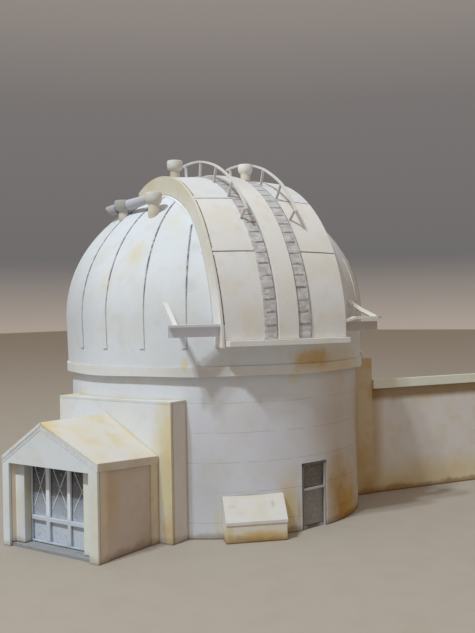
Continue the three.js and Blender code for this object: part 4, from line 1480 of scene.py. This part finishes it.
@dataclass
class Duct:
    """The rolled paper duct between the two side vents, and its torn end past the rear one."""

    front: Triple = (-40.4, -26.2, 141.9)
    rear: Triple = (-47.3, -7.0, 139.7)
    paper: float = 0.5

    def frame(self) -> tuple[np.ndarray, np.ndarray, np.ndarray]:
        """Unit vectors along the duct, level across it, and up."""
        run = unit(np.subtract(self.rear, self.front))
        across = unit(np.cross(run, [0.0, 0, 1]))
        return run, across, np.cross(across, run)

    def tube(self, reach: Pair, radii: Pair, slant: float = 0.0, torn: float = 0.0) -> Skin:
        """A rolled tube: turn by length, its far edge cut aslant and torn.

        Args:
            reach: how far past the front vent's axis it starts and ends.
            radii: its radius at its start and end.
            slant: how much further the top of its far edge reaches than the middle.
            torn: how far that edge is pushed in and out.

        Returns:
            The open tube, as thick as paper.
        """
        run, across, up = self.frame()
        turns = np.linspace(0, 2 * math.pi, 28, endpoint=False)[:, None]
        share = np.linspace(0, 1, 8)[None]
        far = slant * np.sin(turns) + torn * (0.55 * np.sin(turns * 5 + 1) + 0.45 * np.sin(turns * 11))
        axis = (reach[0] + (reach[1] - reach[0]) * share + far * share ** 3)[..., None] * run + self.front
        radius = (radii[0] + (radii[1] - radii[0]) * share)[..., None]
        ring = np.cos(turns)[..., None] * across + np.sin(turns)[..., None] * up
        return sheet(axis + radius * ring, axis + (radius - self.paper) * ring, wrap=True)

    def build(self) -> None:
        """Makes the duct and the stub."""
        length = math.dist(self.front, self.rear)
        roll = CardFinish(tone=(0.54, 0.565, 0.615), age=0.6)
        band_piece("duct_roll", self.tube((3.5, length - 4.0), (1.95, 2.45)), roll,
                   ["side_duct"])
        tip = self.frame()[0] * (length + 11) + self.front
        pale = turned_stain(BAND.bearing, tip, (2.5, 2.5, 2.5), (1.4, 1.4, 1.35), 0.9)
        band_piece("duct_stub", self.tube((length + 4.0, length + 9.5), (2.4, 2.4), 1.7, 0.5),
                   CardFinish(tone=(0.44, 0.45, 0.50), age=0.6, stains=(pale,)))


@dataclass
class Platform:
    """A platform beside the shutter: a plate over a fascia tinted with painted shade."""

    side: Side
    tone: Triple
    age: float
    fascia: Wash

    def build(self) -> None:
        """Dresses the platform."""
        card = CardFinish(tone=self.tone, age=self.age, washes=(self.fascia,))
        soften(f"platform_{self.side.word}", card, 0.12)


# The studio


@dataclass
class Studio:
    """Camera, lights, backdrop and floor.

    Lengths are metres, but the lens and the sensor millimetres. The camera's angles are radians, the
    lamps' degrees. The sky is a colour at each height: 0 straight down, 0.5 level, 1 straight up.
    """

    bearing: float = 0.6316
    distance: float = 0.40239
    height: float = 0.09216
    yaw: float = -0.0279
    pitch: float = 0.0071
    roll: float = -0.0165
    lens: float = 47.3
    sensor: float = 36.0
    key_bearings: Pair = (1.3, -5.9)
    key_elevation: float = 52.5
    key_distance: float = 1.4
    key_aim: float = 0.06
    key_size: float = 0.07
    key_power: float = 6.25
    key_colour: Triple = (0.86, 0.95, 1.0)
    sky: tuple[tuple[float, Triple], ...] = (
        (0.0, (0.40, 0.34, 0.29)), (0.49, (0.40, 0.34, 0.29)), (0.53, (0.16, 0.15, 0.15)),
        (0.62, (0.19, 0.175, 0.17)), (0.80, (0.50, 0.43, 0.37)), (1.0, (0.58, 0.50, 0.43)))
    ground: Triple = (0.43, 0.39, 0.34)
    ground_reach: float = 3.0

    def camera(self) -> None:
        """Stands the camera where the photograph was taken from, fitted to the drum and the porch."""
        aim = self.bearing + self.yaw
        place = on_round(self.distance, math.degrees(self.bearing), self.height)
        level = math.cos(self.pitch)
        forward = np.array([-math.sin(aim) * level, math.cos(aim) * level, -math.sin(self.pitch)])
        right = unit(np.cross(forward, [0, 0, 1]))
        up = np.cross(right, forward)
        across = right * math.cos(self.roll) + up * math.sin(self.roll)
        above = up * math.cos(self.roll) - right * math.sin(self.roll)
        data = bpy.data.cameras.new("camera")
        data.lens = self.lens
        data.sensor_width = self.sensor
        data.clip_start = 0.01
        data.clip_end = 20.0
        camera = placed("camera", data)
        matrix = np.eye(4)
        matrix[:3] = np.stack([across, above, -forward, place], -1)
        camera.matrix_world = Matrix(matrix.tolist())
        bpy.context.scene.camera = camera

    def keys(self) -> None:
        """Two soft round lamps side by side above the porch, a little blue."""
        lift = math.radians(self.key_elevation)
        for k, bearing in enumerate(self.key_bearings):
            data = bpy.data.lights.new(f"key_{k}", "AREA")
            data.shape = "DISK"
            data.size = self.key_size
            data.energy = self.key_power
            data.color = self.key_colour
            lamp = placed(f"key_{k}", data)
            towards = Vector(on_round(math.cos(lift), bearing, math.sin(lift)))
            lamp.location = towards * self.key_distance + Vector((0, 0, self.key_aim))
            lamp.rotation_euler = towards.to_track_quat("Z", "Y").to_euler()

    def surround(self) -> None:
        """Warm grey light from all round, darker along the horizon behind the model."""
        world = bpy.data.worlds.new("surround")
        bpy.context.scene.world = world
        world.use_nodes = True
        tree = world.node_tree
        look = add_node(tree, "TexCoord", {}).outputs["Generated"]
        lift = add_node(tree, "SeparateXYZ", {0: look}).outputs["Z"]
        share = add_node(tree, "Math", {0: lift, 1: 0.5, 2: 0.5}, operation="MULTIPLY_ADD").outputs[0]
        ramp = add_node(tree, "ValToRGB", {0: share})
        elements = ramp.color_ramp.elements
        while len(elements) < len(self.sky):
            elements.new(0.5)
        for element, (place, colour) in zip(elements, self.sky):
            element.position = place
            element.color = (*colour, 1.0)
        tree.links.new(ramp.outputs["Color"], tree.nodes["Background"].inputs["Color"])

    def floor(self) -> None:
        """A plain pale floor."""
        mesh = bpy.data.meshes.new("floor")
        corners = oblong(self.ground_reach, -self.ground_reach, self.ground_reach)
        mesh.from_pydata([(x, y, 0) for x, y in corners], [], [(0, 1, 2, 3)])
        mesh.materials.append(SlabFinish(self.ground, crumbs=0.0).material("floor"))
        floor = placed("floor", mesh)

    def build(self) -> None:
        """Sets up the studio."""
        self.camera()
        self.keys()
        self.surround()
        self.floor()
        bpy.context.scene.view_settings.view_transform = "Standard"


def main() -> None:
    """Builds the studio and every sub-assembly."""
    logging.basicConfig(level=logging.INFO, format="%(message)s")
    parts = [
        Studio(), Drum(), Bay(), Porch(), LeanTo(), Wing(), Dome(), Shutter(),
        Railing(Side.LEFT), Railing(Side.RIGHT),
        Vent("top_vent_left", (-24, -11.5), 156.6, 161.1, 2.25, 3.65, True, (0.72, 0.72, 0.715)),
        Vent("top_vent_right", (7.9, -19.8), 155.8, 160.0, 2.3, 3.4, True, (0.86, 0.865, 0.84)),
        Vent("side_vent_rear", (-47.3, -7.0), 137.8, 142.4, 2.3, 4.2, False, (0.46, 0.46, 0.44),
             (1.5, 1.42, 1.35)),
        Vent("side_vent_front", (-40.4, -26.2), 139.0, 143.8, 2.45, 3.7, False, (0.71, 0.71, 0.71),
             (1.1, 1.05, 0.98)),
        Duct(),
        # The platforms' fascia tints are painted shade under each plate: bluer on the left, darker and
        # browner on the right.
        Platform(Side.LEFT, (0.79, 0.785, 0.795), 0.5, Wash(86.15, 85.85, (0.98, 1.04, 1.2), 0.0)),
        Platform(Side.RIGHT, (0.79, 0.78, 0.775), 0.6, Wash(86.9, 86.5, (0.68, 0.645, 0.61), 0.0)),
    ]
    for part in parts:
        part.build()
        LOG.info("%s is done", type(part).__name__)


if __name__ == "__main__":
    main()
